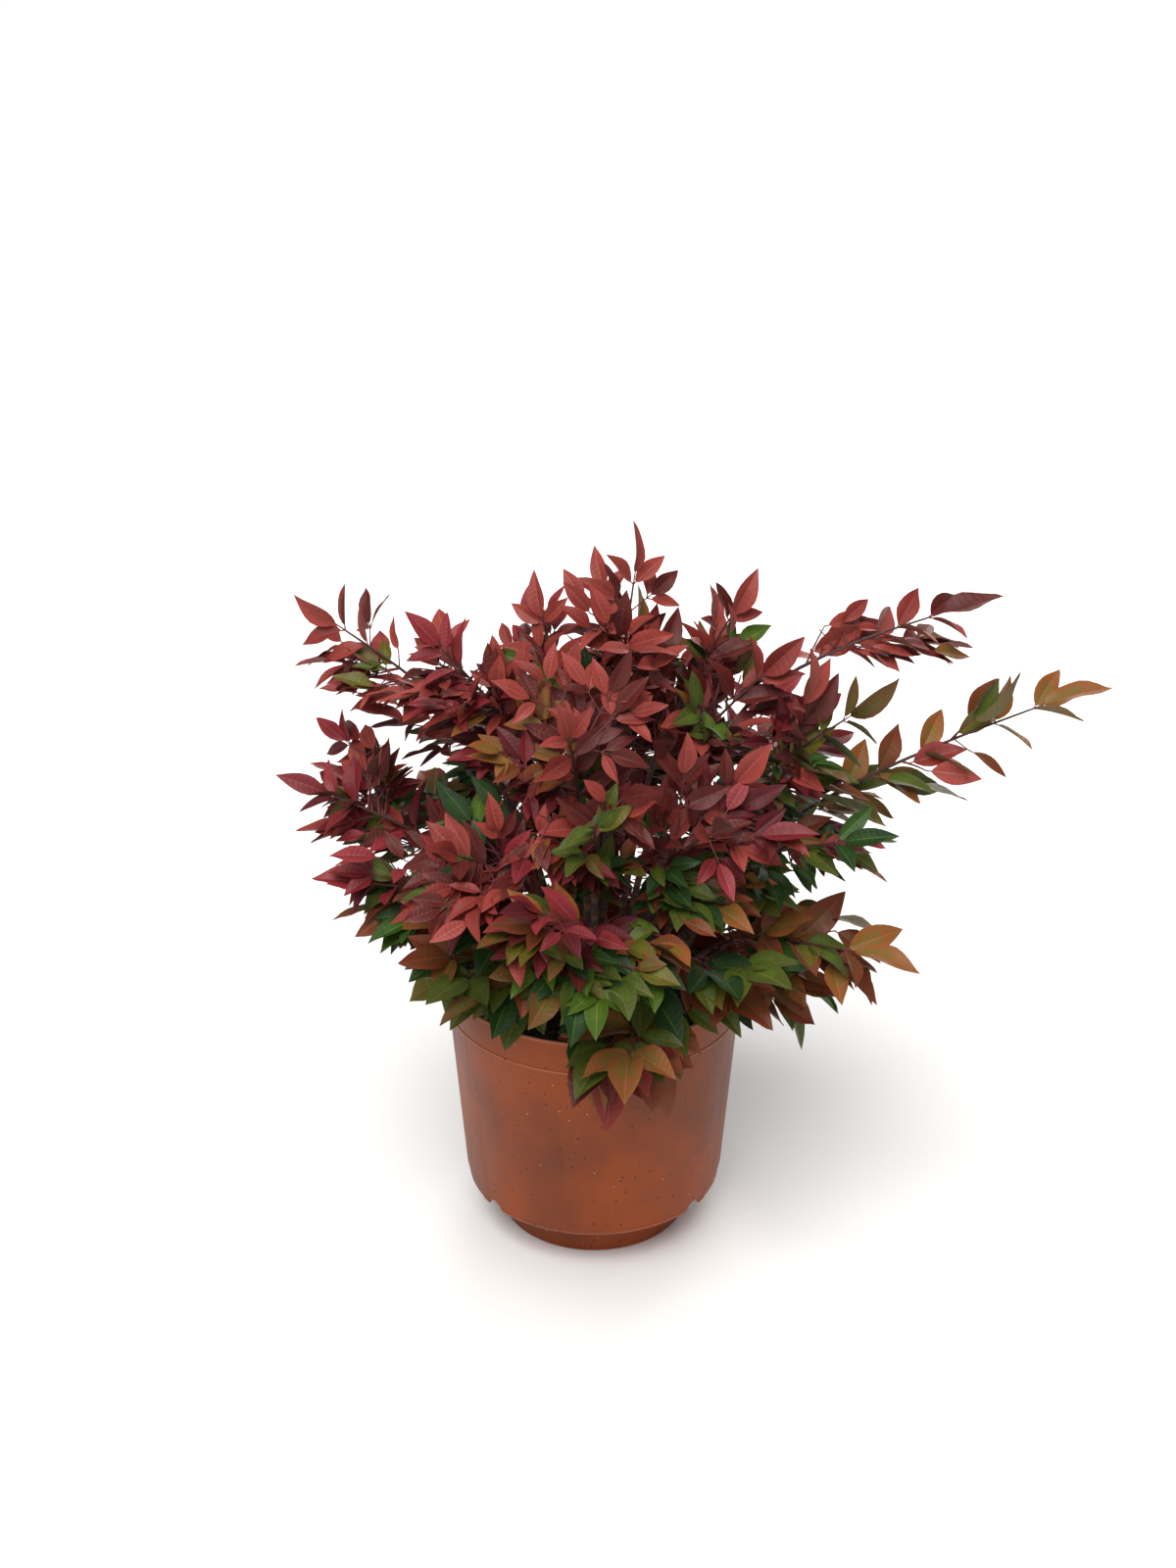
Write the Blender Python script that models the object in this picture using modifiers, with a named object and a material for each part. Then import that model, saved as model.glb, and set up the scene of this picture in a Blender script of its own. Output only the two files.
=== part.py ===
"""Heavenly bamboo in a round plastic pot.

The shrub is a clump of canes that fan out of the soil. Each cane ends where it
enters a mass of foliage, and each mass grows by one rule: a leader carries on
from the cane, side twigs branch from it by the golden angle, and leaves stand on
them in pairs with one at the end. A mass keeps to its own space, which is what
lies nearer to its own leader than to any other.

Metres, +Z up. The origin is the middle of the flat underside of the pot, and the
front of the plant faces -Y.
"""

import math
import random
from collections import namedtuple

import bmesh
import bpy
from mathutils import Matrix, Vector
from mathutils.bvhtree import BVHTree

# Pot
POT_HEIGHT = 0.206
RIM_RADIUS = 0.110  # outside, at the top
LIP_RADIUS = 0.0962  # outside, where the wall ends
LIP_HEIGHT = 0.0335  # the wall stops this far above the ground
WALL = 0.0024
BEAD_HEIGHT = 0.180  # the fine raised line under the rim band
BEAD_SIZE = 0.0008
BAND_STEP = 0.0003  # how far the rim band stands out from the wall below the bead
EDGE_ROUND = 0.0006  # bevel along the rim and the lip
FOOT_RADIUS = 0.0696
FLOOR = 0.003
SHELF_HEIGHT = 0.0405  # underside of the step between foot and wall
FOOT_CHAMFER = 0.0010
POT_SIDES = 36
SHARP_ANGLE = math.radians(30)
NOTCH_RADIUS = 0.0085  # arched drain notches in the lip
NOTCH_TOP = 0.0400
NOTCH_DEPTH = 0.012
NOTCH_ANGLES = (50, 130, 230, 310)  # degrees round from the front
PANEL_SPAN = 62  # degrees of lip set back between two notches, left and right
PANEL_TOP = 0.0440
PANEL_FOOT = 0.0235  # under the lip, so that the set-back goes right through it
PANEL_DEPTH = 0.0011
PANEL_STEPS = 6

# Soil
FIT_GAP = 0.0003  # between any two neighbours
SOIL_TOP = 0.184
SOIL_FLAT = 0.090  # radius of the level middle, where the canes stand
SOIL_MOUND = 0.004

# Canes
CANE_FOCUS = Vector((0, 0, 0.060))  # lines from here to the hubs set the canes' feet
CANE_FOOT_RADIUS = 0.0030
CANE_TIP_RADIUS = 0.0021
CANE_SIDES = 5
CANE_STEPS = 3
CANE_SAMPLES = 40  # points along a cane that leaves keep clear of
STRAIGHT_END = 0.003
CANE_RISE = 0.42  # how far a cane goes straight up, as a share of its length
HUB_OUT = 0.36  # how far out a cane ends, as a share of the way to its mass's tip
HUB_LOWEST = 0.244

# Growth rule of a mass
CROWN_MIDDLE = Vector((0.01, 0, 0.27))
SHADE_LINE = Vector((0, 0.09, 0))  # leaves turn away from a line that stands here
LEADER_RADIUS = 0.0019
TWIG_RADIUS = 0.0015
TWIG_END_RADIUS = 0.0011
LEADER_STEPS = 3
LEADER_BOW = 0.30  # how far a leader keeps its cane's direction, as a share of its length
TWIG_SIDES = 3
GOLDEN_ANGLE = math.radians(137.508)
GOLDEN_SHARE = 0.618
TWIG_TRIES = 60
TWIG_LEAN = (42, 66)  # degrees between a twig and its leader
TWIG_REACH = (0.62, 0.80)  # a twig's length, as a share of the girth
TWIG_SHORTEST = 0.022
TWIG_SHORTENING = 0.85  # a twig that leaves its space is tried again at this share
TWIG_LIFT = 0.25
FLATNESS = 0.5  # twigs are held out level more than all round their leader
STEEP = 0.9  # a leader that rises more than this has its twigs set out from the pot
FIRST_TWIG = 0.06  # where twigs start and end on the leader, as shares of its length
LAST_TWIG = 0.74
FEWEST_LEAVES = 2  # a twig that would carry fewer is left out
FIRST_NODE = 0.28  # where leaves start on a twig, as a share of its length
NODE_SPACING = 0.026
NODE_SWAY = (0.9, 1.1)
LAST_NODE = 0.35  # the last pair keeps this share of the spacing from the twig's end
LEAF_SPLAY = (42, 68)  # degrees between a leaf and its twig
LEAF_LIFT = 0.18
LEAF_SWAY = 0.14
LEAF_RAISE = 0.15
PAIR_SIZE = (0.82, 1.0)  # sizes of the leaves in pairs, and of those at twig ends
END_SIZE = (0.95, 1.08)
FACE_LEAN = (0.20, 0.75)  # how far the plane of a twig's leaves leans outward
STEEP_LEAN = 0.7  # how much further it leans on an upright twig
PLANE_SWAY = 0.28  # how far that plane is off, and each leaf from it
FACE_SWAY = 0.16
TURNS_OUT = (0, 0.4, 0.8, 1.3)  # a leaf that doesn't fit is turned outward by these
LEAF_LENGTH = 0.052
LEAF_WIDTH = 0.0265
LEAF_THICKNESS = 0.0012
LEAF_BELLY = 0.42  # widest point, as a share of the length
LEAF_FOLD = 0.16  # how far the edges rise over the rib, as a share of the width
LEAF_DROOP = 0.10  # how far the tip hangs, as a share of the length
BLADE_START = 0.14  # the part of a leaf that may meet another's, next to the root
LEAF_ROOT = 0.0003  # how far a leaf's root is sunk past the middle of its twig
END_ROOT = 0.0012  # how far an end leaf's root is sunk down its twig
SPACE_GAP = 0.020  # clearance between spaces, as a share of the girth
LIMB_CLEARANCE = 0.0070
POT_CLEARANCE = 0.004

# Each mass: tip of its leader, how far up to it the cane ends, girth of its space, most
# leaves, lift of its twigs
Mass = namedtuple("Mass", "tip risen girth leaves lift")
MASSES = {
    "top": Mass(Vector((0.032, 0.020, 0.546)), 0.50, 0.056, 15, 0.5),
    "top_left": Mass(Vector((-0.044, 0.050, 0.500)), 0.55, 0.042, 15, 0.4),
    "top_right": Mass(Vector((0.114, 0.040, 0.506)), 0.55, 0.050, 15, 0.4),
    "left_high": Mass(Vector((-0.208, 0.030, 0.494)), 0.60, 0.046, 15, 0.2),
    "left_upper": Mass(Vector((-0.126, -0.005, 0.494)), 0.60, 0.066, 15, 0.4),
    "left_mid": Mass(Vector((-0.222, 0.000, 0.370)), 0.50, 0.062, 15, 0.1),
    "left_low": Mass(Vector((-0.198, -0.030, 0.306)), 0.54, 0.052, 15, 0.4),
    "front_top": Mass(Vector((-0.020, -0.112, 0.470)), 0.50, 0.070, 15, 0.2),
    "front_upper": Mass(Vector((0.000, -0.170, 0.424)), 0.50, 0.066, 15, 0.0),
    "front_left": Mass(Vector((-0.108, -0.150, 0.390)), 0.50, 0.072, 15, 0.0),
    "front_right": Mass(Vector((0.092, -0.140, 0.404)), 0.50, 0.070, 15, 0.0),
    "front_mid": Mass(Vector((-0.004, -0.204, 0.350)), 0.50, 0.072, 15, -0.1),
    "inner": Mass(Vector((0.006, 0.060, 0.350)), 0.50, 0.066, 12, 0.0),
    "right_high": Mass(Vector((0.280, 0.030, 0.498)), 0.69, 0.042, 15, 0.6),
    "right_upper": Mass(Vector((0.142, 0.000, 0.474)), 0.58, 0.058, 15, 0.3),
    "right_far": Mass(Vector((0.352, -0.020, 0.450)), 0.50, 0.038, 15, 0.0),
    "right_mid": Mass(Vector((0.206, -0.040, 0.456)), 0.50, 0.060, 15, 0.6),
    "right_under": Mass(Vector((0.202, -0.098, 0.374)), 0.56, 0.046, 15, 0.3),
    "right_low": Mass(Vector((0.222, -0.125, 0.292)), 0.52, 0.050, 15, 0.1),
    "low_front_left": Mass(Vector((-0.108, -0.096, 0.226)), 0.50, 0.058, 15, -0.2),
    "low_front": Mass(Vector((0.044, -0.178, 0.202)), 0.50, 0.060, 15, -0.6),
    "low_front_right": Mass(Vector((0.124, -0.124, 0.246)), 0.50, 0.056, 15, -0.2),
    "low_right": Mass(Vector((0.182, -0.050, 0.214)), 0.50, 0.056, 15, -0.2),
    "back_top": Mass(Vector((0.036, 0.128, 0.458)), 0.50, 0.070, 12, 0.2),
    "back_left": Mass(Vector((-0.134, 0.136, 0.388)), 0.50, 0.074, 12, 0.0),
    "back_right": Mass(Vector((0.158, 0.136, 0.392)), 0.50, 0.074, 12, 0.0),
    "back_low_left": Mass(Vector((-0.122, 0.140, 0.262)), 0.50, 0.066, 12, -0.2),
    "back_mid": Mass(Vector((0.014, 0.206, 0.330)), 0.50, 0.072, 12, -0.1),
    "back_low_right": Mass(Vector((0.128, 0.142, 0.258)), 0.50, 0.066, 12, -0.2),
}

# Colours
TERRACOTTA = (0.262, 0.064, 0.027)
SOIL_BROWN = (0.020, 0.013, 0.009)
CANE_BROWN = (0.085, 0.030, 0.020)
LEAF_CRIMSON = (0.190, 0.026, 0.026)
LEAF_BRONZE = (0.150, 0.062, 0.022)
LEAF_GREEN = (0.052, 0.085, 0.018)


def clear_scene():
    for item in list(bpy.data.objects):
        bpy.data.objects.remove(item)


def new_collection(name):
    collection = bpy.data.collections.new(name)
    bpy.context.scene.collection.children.link(collection)
    return collection


def new_material(name, colour, roughness):
    material = bpy.data.materials.new(name)
    material.use_nodes = True
    shader = material.node_tree.nodes["Principled BSDF"]
    shader.inputs["Base Color"].default_value = (*colour, 1)
    shader.inputs["Roughness"].default_value = roughness
    shader.inputs["Metallic"].default_value = 0
    material.diffuse_color = (*colour, 1)
    return material


def object_from(bm, name, collection, material=None):
    mesh = bpy.data.meshes.new(name)
    bm.to_mesh(mesh)
    bm.free()
    made = bpy.data.objects.new(name, mesh)
    collection.objects.link(made)
    if material:
        mesh.materials.append(material)
    return made


# ---------------------------------------------------------------- pot and soil


def wall_radius(height, inset=0):
    share = (height - LIP_HEIGHT) / (POT_HEIGHT - LIP_HEIGHT)
    return LIP_RADIUS + (RIM_RADIUS - LIP_RADIUS) * share - inset


def turned(name, profile, collection, material):
    """A turned piece, its profile given as (radius, height) down the outer side."""
    bm = bmesh.new()
    points = [bm.verts.new((radius, 0, height)) for radius, height in profile]
    for start, end in zip(points, points[1:]):
        bm.edges.new((start, end))
    made = object_from(bm, name, collection, material)
    screw = made.modifiers.new("turn", "SCREW")
    screw.steps = POT_SIDES
    screw.render_steps = POT_SIDES
    screw.use_merge_vertices = True
    screw.merge_threshold = 0.00001
    screw.use_smooth_shade = True
    return made


def pot_profile():
    bead_outside = wall_radius(BEAD_HEIGHT) + BEAD_SIZE
    shelf_top = SHELF_HEIGHT + WALL
    return [
        (0, FLOOR),
        (FOOT_RADIUS - WALL, FLOOR),
        (FOOT_RADIUS - WALL, shelf_top),
        (wall_radius(shelf_top, WALL), shelf_top),
        (wall_radius(POT_HEIGHT, WALL), POT_HEIGHT - EDGE_ROUND),
        (wall_radius(POT_HEIGHT, WALL - EDGE_ROUND), POT_HEIGHT),
        (wall_radius(POT_HEIGHT, EDGE_ROUND), POT_HEIGHT),
        (wall_radius(POT_HEIGHT), POT_HEIGHT - EDGE_ROUND),
        (wall_radius(BEAD_HEIGHT) + BAND_STEP, BEAD_HEIGHT + BEAD_SIZE * 1.5),
        (bead_outside, BEAD_HEIGHT + BEAD_SIZE / 2),
        (bead_outside, BEAD_HEIGHT - BEAD_SIZE / 2),
        (wall_radius(BEAD_HEIGHT - BEAD_SIZE * 1.5), BEAD_HEIGHT - BEAD_SIZE * 1.5),
        (wall_radius(LIP_HEIGHT + EDGE_ROUND), LIP_HEIGHT + EDGE_ROUND),
        (wall_radius(LIP_HEIGHT, EDGE_ROUND), LIP_HEIGHT),
        (wall_radius(LIP_HEIGHT, WALL), LIP_HEIGHT),
        (wall_radius(SHELF_HEIGHT, WALL), SHELF_HEIGHT),
        (FOOT_RADIUS, SHELF_HEIGHT),
        (FOOT_RADIUS, FOOT_CHAMFER),
        (FOOT_RADIUS - FOOT_CHAMFER, 0),
        (0, 0),
    ]


def hide_cutter(cutter):
    cutter.hide_render = True
    cutter.display_type = "WIRE"


def notch_cutter(angle, cutters):
    """A short level cylinder through the lip, pointing away from the axis."""
    bm = bmesh.new()
    bmesh.ops.create_cone(
        bm,
        cap_ends=True,
        segments=12,
        radius1=NOTCH_RADIUS,
        radius2=NOTCH_RADIUS,
        depth=NOTCH_DEPTH,
        matrix=Matrix.Rotation(math.pi / 2, 4, "X"),
    )
    cutter = object_from(bm, f"notch_{angle}", cutters)
    turn = Matrix.Rotation(math.radians(angle), 4, "Z")
    middle_of_wall = wall_radius(LIP_HEIGHT, WALL / 2)
    cutter.location = turn @ Vector((0, -middle_of_wall, NOTCH_TOP - NOTCH_RADIUS))
    cutter.rotation_euler.z = math.radians(angle)
    hide_cutter(cutter)
    return cutter


def panel_cutter(angle, cutters):
    """A ring sector that sets back the lip between two notches."""
    section = [
        (wall_radius(PANEL_FOOT, PANEL_DEPTH), PANEL_FOOT),
        (RIM_RADIUS, PANEL_FOOT),
        (RIM_RADIUS, PANEL_TOP),
        (wall_radius(PANEL_TOP, PANEL_DEPTH), PANEL_TOP),
    ]
    bm = bmesh.new()
    corners = [bm.verts.new((0, -radius, height)) for radius, height in section]
    face = bm.faces.new(corners)
    start = Matrix.Rotation(math.radians(angle - PANEL_SPAN / 2), 3, "Z")
    bmesh.ops.rotate(bm, verts=corners, matrix=start)
    bmesh.ops.spin(
        bm,
        geom=[face, *face.edges, *corners],
        axis=(0, 0, 1),
        angle=math.radians(PANEL_SPAN),
        steps=PANEL_STEPS,
    )
    bmesh.ops.recalc_face_normals(bm, faces=bm.faces)
    cutter = object_from(bm, f"panel_{angle}", cutters)
    hide_cutter(cutter)
    return cutter


def settle(made):
    """Apply the modifiers, and shade smooth between the sharp edges."""
    mesh = bpy.data.meshes.new_from_object(
        made.evaluated_get(bpy.context.evaluated_depsgraph_get())
    )
    made.modifiers.clear()
    made.data = mesh
    mesh.shade_smooth()
    mesh.set_sharp_from_angle(angle=SHARP_ANGLE)


def build_pot(parts, cutters):
    material = new_material("terracotta_plastic", TERRACOTTA, 0.45)
    pot = turned("pot", pot_profile(), parts, material)
    holes = [notch_cutter(angle, cutters) for angle in NOTCH_ANGLES]
    holes += [panel_cutter(angle, cutters) for angle in (90, 270)]
    for hole in holes:
        cut = pot.modifiers.new(hole.name, "BOOLEAN")
        cut.operation = "DIFFERENCE"
        cut.object = hole
    settle(pot)


def build_soil(parts):
    material = new_material("potting_soil", SOIL_BROWN, 0.95)
    shelf_top = SHELF_HEIGHT + WALL
    inset = WALL + 1.2 * FIT_GAP  # the wall slants, so its level gap is the wider one
    profile = [
        (0, SOIL_TOP),
        (SOIL_FLAT, SOIL_TOP),
        (wall_radius(SOIL_TOP, inset), SOIL_TOP - SOIL_MOUND),
        (wall_radius(shelf_top, inset), shelf_top + FIT_GAP),
        (FOOT_RADIUS - inset, shelf_top + FIT_GAP),
        (FOOT_RADIUS - inset, FLOOR + FIT_GAP),
        (0, FLOOR + FIT_GAP),
    ]
    settle(turned("substrate", profile, parts, material))


# ------------------------------------------------------------------- growth rule


def bezier(start, middle, end, share):
    rest = 1 - share
    return start * rest * rest + middle * 2 * rest * share + end * share * share


def hub_of(name):
    """Where a mass's cane ends and its leader begins."""
    tip, risen = MASSES[name].tip, MASSES[name].risen
    height = SOIL_TOP + (tip.z - SOIL_TOP) * risen
    return Vector((tip.x * HUB_OUT, tip.y * HUB_OUT, max(height, HUB_LOWEST)))


def cane_foot(name):
    """Where the straight line from the focus to the hub leaves the soil."""
    reach = hub_of(name) - CANE_FOCUS
    return CANE_FOCUS + reach * ((SOIL_TOP + FIT_GAP - CANE_FOCUS.z) / reach.z)


def cane_curve(name):
    """The three points of the curve that a cane follows."""
    foot, hub = cane_foot(name), hub_of(name)
    return foot, foot + Vector((0, 0, (hub - foot).length * CANE_RISE)), hub


def cane_end_direction(name):
    middle, hub = cane_curve(name)[1:]
    return (hub - middle).normalized()


def cane_path(name):
    """The cane's curve, with straight ends so that both cuts are square to it."""
    curve = cane_curve(name)
    path = [bezier(*curve, step / CANE_STEPS) for step in range(CANE_STEPS + 1)]
    above_foot = path[0] + Vector((0, 0, STRAIGHT_END))
    below_tip = path[-1] - cane_end_direction(name) * STRAIGHT_END
    return [path[0], above_foot, *path[1:-1], below_tip, path[-1]]


def distance_to_segment(point, start, end):
    along = end - start
    share = (point - start).dot(along) / along.length_squared
    return (point - start - along * min(max(share, 0), 1)).length


def girth_ratio(point, name):
    mass = MASSES[name]
    return distance_to_segment(point, hub_of(name), mass.tip) / mass.girth


def in_own_space(point, name):
    own = girth_ratio(point, name)
    if own > 1:
        return False
    return all(girth_ratio(point, other) > own + SPACE_GAP for other in MASSES if other != name)


def clear_of_pot(point):
    radius = math.hypot(point.x, point.y)
    return radius > RIM_RADIUS + POT_CLEARANCE or point.z > POT_HEIGHT + POT_CLEARANCE


def clear_of_canes(point, cane_points):
    return all((point - other).length > LIMB_CLEARANCE for other in cane_points)


def fits(points, name, cane_points):
    return all(
        in_own_space(point, name) and clear_of_pot(point) and clear_of_canes(point, cane_points)
        for point in points
    )


def square_to(direction, hint):
    """The part of hint that is square to direction, as a unit vector."""
    return (hint - direction * hint.dot(direction)).normalized()


def outward(point):
    return Vector((point.x, point.y, 0)).normalized()


def spray_facing(path, chance):
    """The way that the leaves of a twig face: towards the light."""
    rise = (path[-1] - path[0]).normalized().z
    lean = chance.uniform(*FACE_LEAN) + max(rise, 0) * STEEP_LEAN
    facing = Vector((0, 0, 1)) + outward(path[-1] - SHADE_LINE) * lean
    return facing + Vector([chance.uniform(-PLANE_SWAY, PLANE_SWAY) for _ in range(3)])


def away(point):
    """Direction away from the middle of the crown."""
    return (point - CROWN_MIDDLE).normalized()


def leaf_frame(root, direction, facing):
    """Axes of a leaf: X across, Y along the rib, Z out of its upper face."""
    up = square_to(direction, facing)
    across = direction.cross(up)
    frame = Matrix((across, direction, up)).transposed().to_4x4()
    frame.translation = root
    return frame


def leaf_points(frame, length, width):
    """Places on the leaf that are tested against its space."""
    places = [(0, 0.2), (0, 0.35), (0, 0.5), (0, 0.65), (0, 0.82), (0, 1)]
    for side in (-1, 1):
        places += [(side * 0.5, 0.42), (side * 0.25, 0.3), (side * 0.25, 0.5), (side * 0.27, 0.7)]
    return [frame @ Vector((x * width, y * length, 0)) for x, y in places]


def blade_of(frame, length, width):
    """The leaf clear of its root, as two triangles that are tested against others."""
    rise = LEAF_FOLD * width
    rib = frame @ Vector((0, length * BLADE_START, 0))
    tip = frame @ Vector((0, length, -LEAF_DROOP * length))
    left, right = (
        frame @ Vector((side * width / 2, length * LEAF_BELLY, rise)) for side in (-1, 1)
    )
    return BVHTree.FromPolygons([rib, left, tip, right], [(0, 1, 2), (0, 2, 3)])


def blade_of_twig(path):
    """The twig as a narrow ribbon that leaves are tested against."""
    sideways = Vector((TWIG_RADIUS, 0, 0))
    edges = [point + side for point in path for side in (-sideways, sideways)]
    steps = range(0, 2 * len(path) - 2, 2)
    return BVHTree.FromPolygons(edges, [(i, i + 1, i + 3, i + 2) for i in steps])


def crosses(blade, others):
    return any(blade.overlap(other) for other in others)


def path_length(path):
    return sum((b - a).length for a, b in zip(path, path[1:]))


def point_on(path, distance):
    """Place and direction at a distance along a path."""
    for start, end in zip(path, path[1:]):
        run = (end - start).length
        if distance <= run:
            return start.lerp(end, distance / run), (end - start).normalized()
        distance -= run
    return path[-1].copy(), (path[-1] - path[-2]).normalized()


def leaves_on(path, name, cane_points, taken, chance):
    """Leaves of one twig: pairs at its nodes, and one at its end."""
    leaves, blades = [], []
    lift = MASSES[name].lift
    plane = spray_facing(path, chance)

    def try_leaf(place, first_direction, sink, scale):
        facing = plane + Vector([chance.uniform(-FACE_SWAY, FACE_SWAY) for _ in range(3)])
        length, width = LEAF_LENGTH * scale, LEAF_WIDTH * scale
        for turn_out in TURNS_OUT:
            direction = (first_direction + away(place) * turn_out).normalized()
            frame = leaf_frame(place - direction * sink, direction, facing)
            if not fits(leaf_points(frame, length, width), name, cane_points):
                continue
            blade = blade_of(frame, length, width)
            if not crosses(blade, taken + blades):
                blades.append(blade)
                leaves.append((frame, length, width))
                return

    total = path_length(path)
    distance = total * FIRST_NODE
    while distance < total - NODE_SPACING * LAST_NODE:
        place, along = point_on(path, distance)
        normal = square_to(along, plane)
        across = along.cross(normal)
        for side in (-1, 1):
            splay = math.radians(chance.uniform(*LEAF_SPLAY))
            direction = along * math.cos(splay) + across * side * math.sin(splay)
            direction.z += LEAF_LIFT * lift + chance.uniform(-LEAF_SWAY, LEAF_SWAY)
            direction += normal * chance.uniform(0, LEAF_RAISE)
            direction.normalize()
            try_leaf(place, direction, LEAF_ROOT, chance.uniform(*PAIR_SIZE))
        distance += NODE_SPACING * chance.uniform(*NODE_SWAY)
    place, along = point_on(path, total)
    try_leaf(place, along, END_ROOT, chance.uniform(*END_SIZE))
    return leaves, blades


def side_twig(name, leader, share, turn, cane_points, taken, chance):
    """One twig off the leader, shortened until it fits its space, or None."""
    mass = MASSES[name]
    place, along = point_on(leader, path_length(leader) * share)
    square = square_to(along, Vector((0, 0, 1)) if along.z < STEEP else outward(mass.tip))
    across = along.cross(square)
    radial = square * math.cos(turn) + across * math.sin(turn)
    lean = math.radians(chance.uniform(*TWIG_LEAN))
    direction = along * math.cos(lean) + radial * math.sin(lean)
    direction.z = direction.z * FLATNESS + TWIG_LIFT * mass.lift
    direction.normalize()
    length = mass.girth * chance.uniform(*TWIG_REACH)
    while length > TWIG_SHORTEST:
        path = [place, place + direction * length]
        ribbon = blade_of_twig([place.lerp(path[1], BLADE_START), path[1]])
        if fits(path[1:], name, cane_points) and not crosses(ribbon, taken):
            return path
        length *= TWIG_SHORTENING
    return None


def leader_path(name):
    """From just clear of the cane's tip to one leaf short of the mass's tip."""
    tip = MASSES[name].tip
    start_direction = cane_end_direction(name)
    start = hub_of(name) + start_direction * FIT_GAP
    reach = (tip - start).length - LEAF_LENGTH
    end = tip - (tip - start).normalized() * LEAF_LENGTH
    middle = start + start_direction * reach * LEADER_BOW
    steps = range(1, LEADER_STEPS + 1)
    curve = [bezier(start, middle, end, step / LEADER_STEPS) for step in steps]
    return [start, start + start_direction * STRAIGHT_END, *curve]


def grow(name, seed, cane_points):
    """Twigs and leaves of one mass: its leader, and then side twigs until it is full."""
    chance = random.Random(seed)
    leader = leader_path(name)
    leaves, blades = leaves_on(leader, name, cane_points, [], chance)
    taken = [blade_of_twig(leader), *blades]
    twigs = [(leader, LEADER_RADIUS)]
    turn = chance.uniform(0, math.tau)
    for index in range(TWIG_TRIES):
        if len(leaves) >= MASSES[name].leaves:
            break
        turn += GOLDEN_ANGLE
        share = FIRST_TWIG + (LAST_TWIG - FIRST_TWIG) * (index * GOLDEN_SHARE % 1)
        path = side_twig(name, leader, share, turn, cane_points, taken, chance)
        if not path:
            continue
        new_leaves, blades = leaves_on(path, name, cane_points, taken, chance)
        if len(new_leaves) >= FEWEST_LEAVES:
            twigs.append((path, TWIG_RADIUS))
            leaves += new_leaves
            taken += [blade_of_twig(path), *blades]
    return twigs, leaves


# ------------------------------------------------------------------------ solids


def tube_outline(sides):
    """A regular outline of radius 1, which a curve sweeps into a tube."""
    outline = bpy.data.curves.new(f"outline_{sides}", "CURVE")
    outline.dimensions = "2D"
    spline = outline.splines.new("POLY")
    spline.points.add(sides - 1)
    for index, point in enumerate(spline.points):
        turn = -math.tau * index / sides
        point.co = (math.cos(turn), math.sin(turn), 0, 1)
    spline.use_cyclic_u = True
    made = bpy.data.objects.new(outline.name, outline)
    hide_cutter(made)
    return made


def tube(name, path, start_radius, end_radius, outline, collection, material=None):
    """A tapering tube along a path, as a closed mesh."""
    curve = bpy.data.curves.new(name, "CURVE")
    curve.dimensions = "3D"
    curve.bevel_mode = "OBJECT"
    curve.bevel_object = outline
    curve.use_fill_caps = True
    spline = curve.splines.new("POLY")
    spline.points.add(len(path) - 1)
    for index, (point, place) in enumerate(zip(spline.points, path)):
        point.co = (*place, 1)
        share = index / (len(path) - 1)
        point.radius = start_radius + (end_radius - start_radius) * share
    sweep = bpy.data.objects.new(name, curve)
    collection.objects.link(sweep)
    evaluated = sweep.evaluated_get(bpy.context.evaluated_depsgraph_get())
    mesh = bpy.data.meshes.new_from_object(evaluated)
    bpy.data.objects.remove(sweep)
    bm = bmesh.new()
    bm.from_mesh(mesh)
    bmesh.ops.remove_doubles(bm, verts=bm.verts, dist=0.00001)
    bmesh.ops.recalc_face_normals(bm, faces=bm.faces)
    return object_from(bm, name, collection, material)


def leaf_solid(frame, length, width, collection):
    """A folded leaf of eight faces, shaped from the coarsest sphere."""
    bm = bmesh.new()
    bmesh.ops.create_uvsphere(bm, u_segments=4, v_segments=2, radius=1)
    for vert in bm.verts:
        across, through, along = vert.co
        share = LEAF_BELLY if abs(along) < 0.5 else (along + 1) / 2
        fold = abs(across) * LEAF_FOLD * width
        arch = -LEAF_DROOP * length * share * share
        vert.co = (
            across * width / 2,
            share * length,
            through * LEAF_THICKNESS / 2 + fold + arch,
        )
    bmesh.ops.reverse_faces(bm, faces=bm.faces)
    bmesh.ops.transform(bm, matrix=frame, verts=bm.verts)
    return object_from(bm, "leaf", collection)


def largest_shell(mesh):
    """Keep the largest body, which drops scraps and fills sealed hollows."""
    bm = bmesh.new()
    bm.from_mesh(mesh)
    waiting = set(bm.verts)
    shells = []
    while waiting:
        shell, edge_of_shell = set(), [waiting.pop()]
        while edge_of_shell:
            vert = edge_of_shell.pop()
            shell.add(vert)
            for edge in vert.link_edges:
                other = edge.other_vert(vert)
                if other in waiting:
                    waiting.discard(other)
                    edge_of_shell.append(other)
        shells.append(shell)
    shells.sort(key=len, reverse=True)
    scraps = [vert for shell in shells[1:] for vert in shell]
    bmesh.ops.delete(bm, geom=scraps, context="VERTS")
    bmesh.ops.triangulate(bm, faces=bm.faces)
    bm.to_mesh(mesh)
    bm.free()


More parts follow.
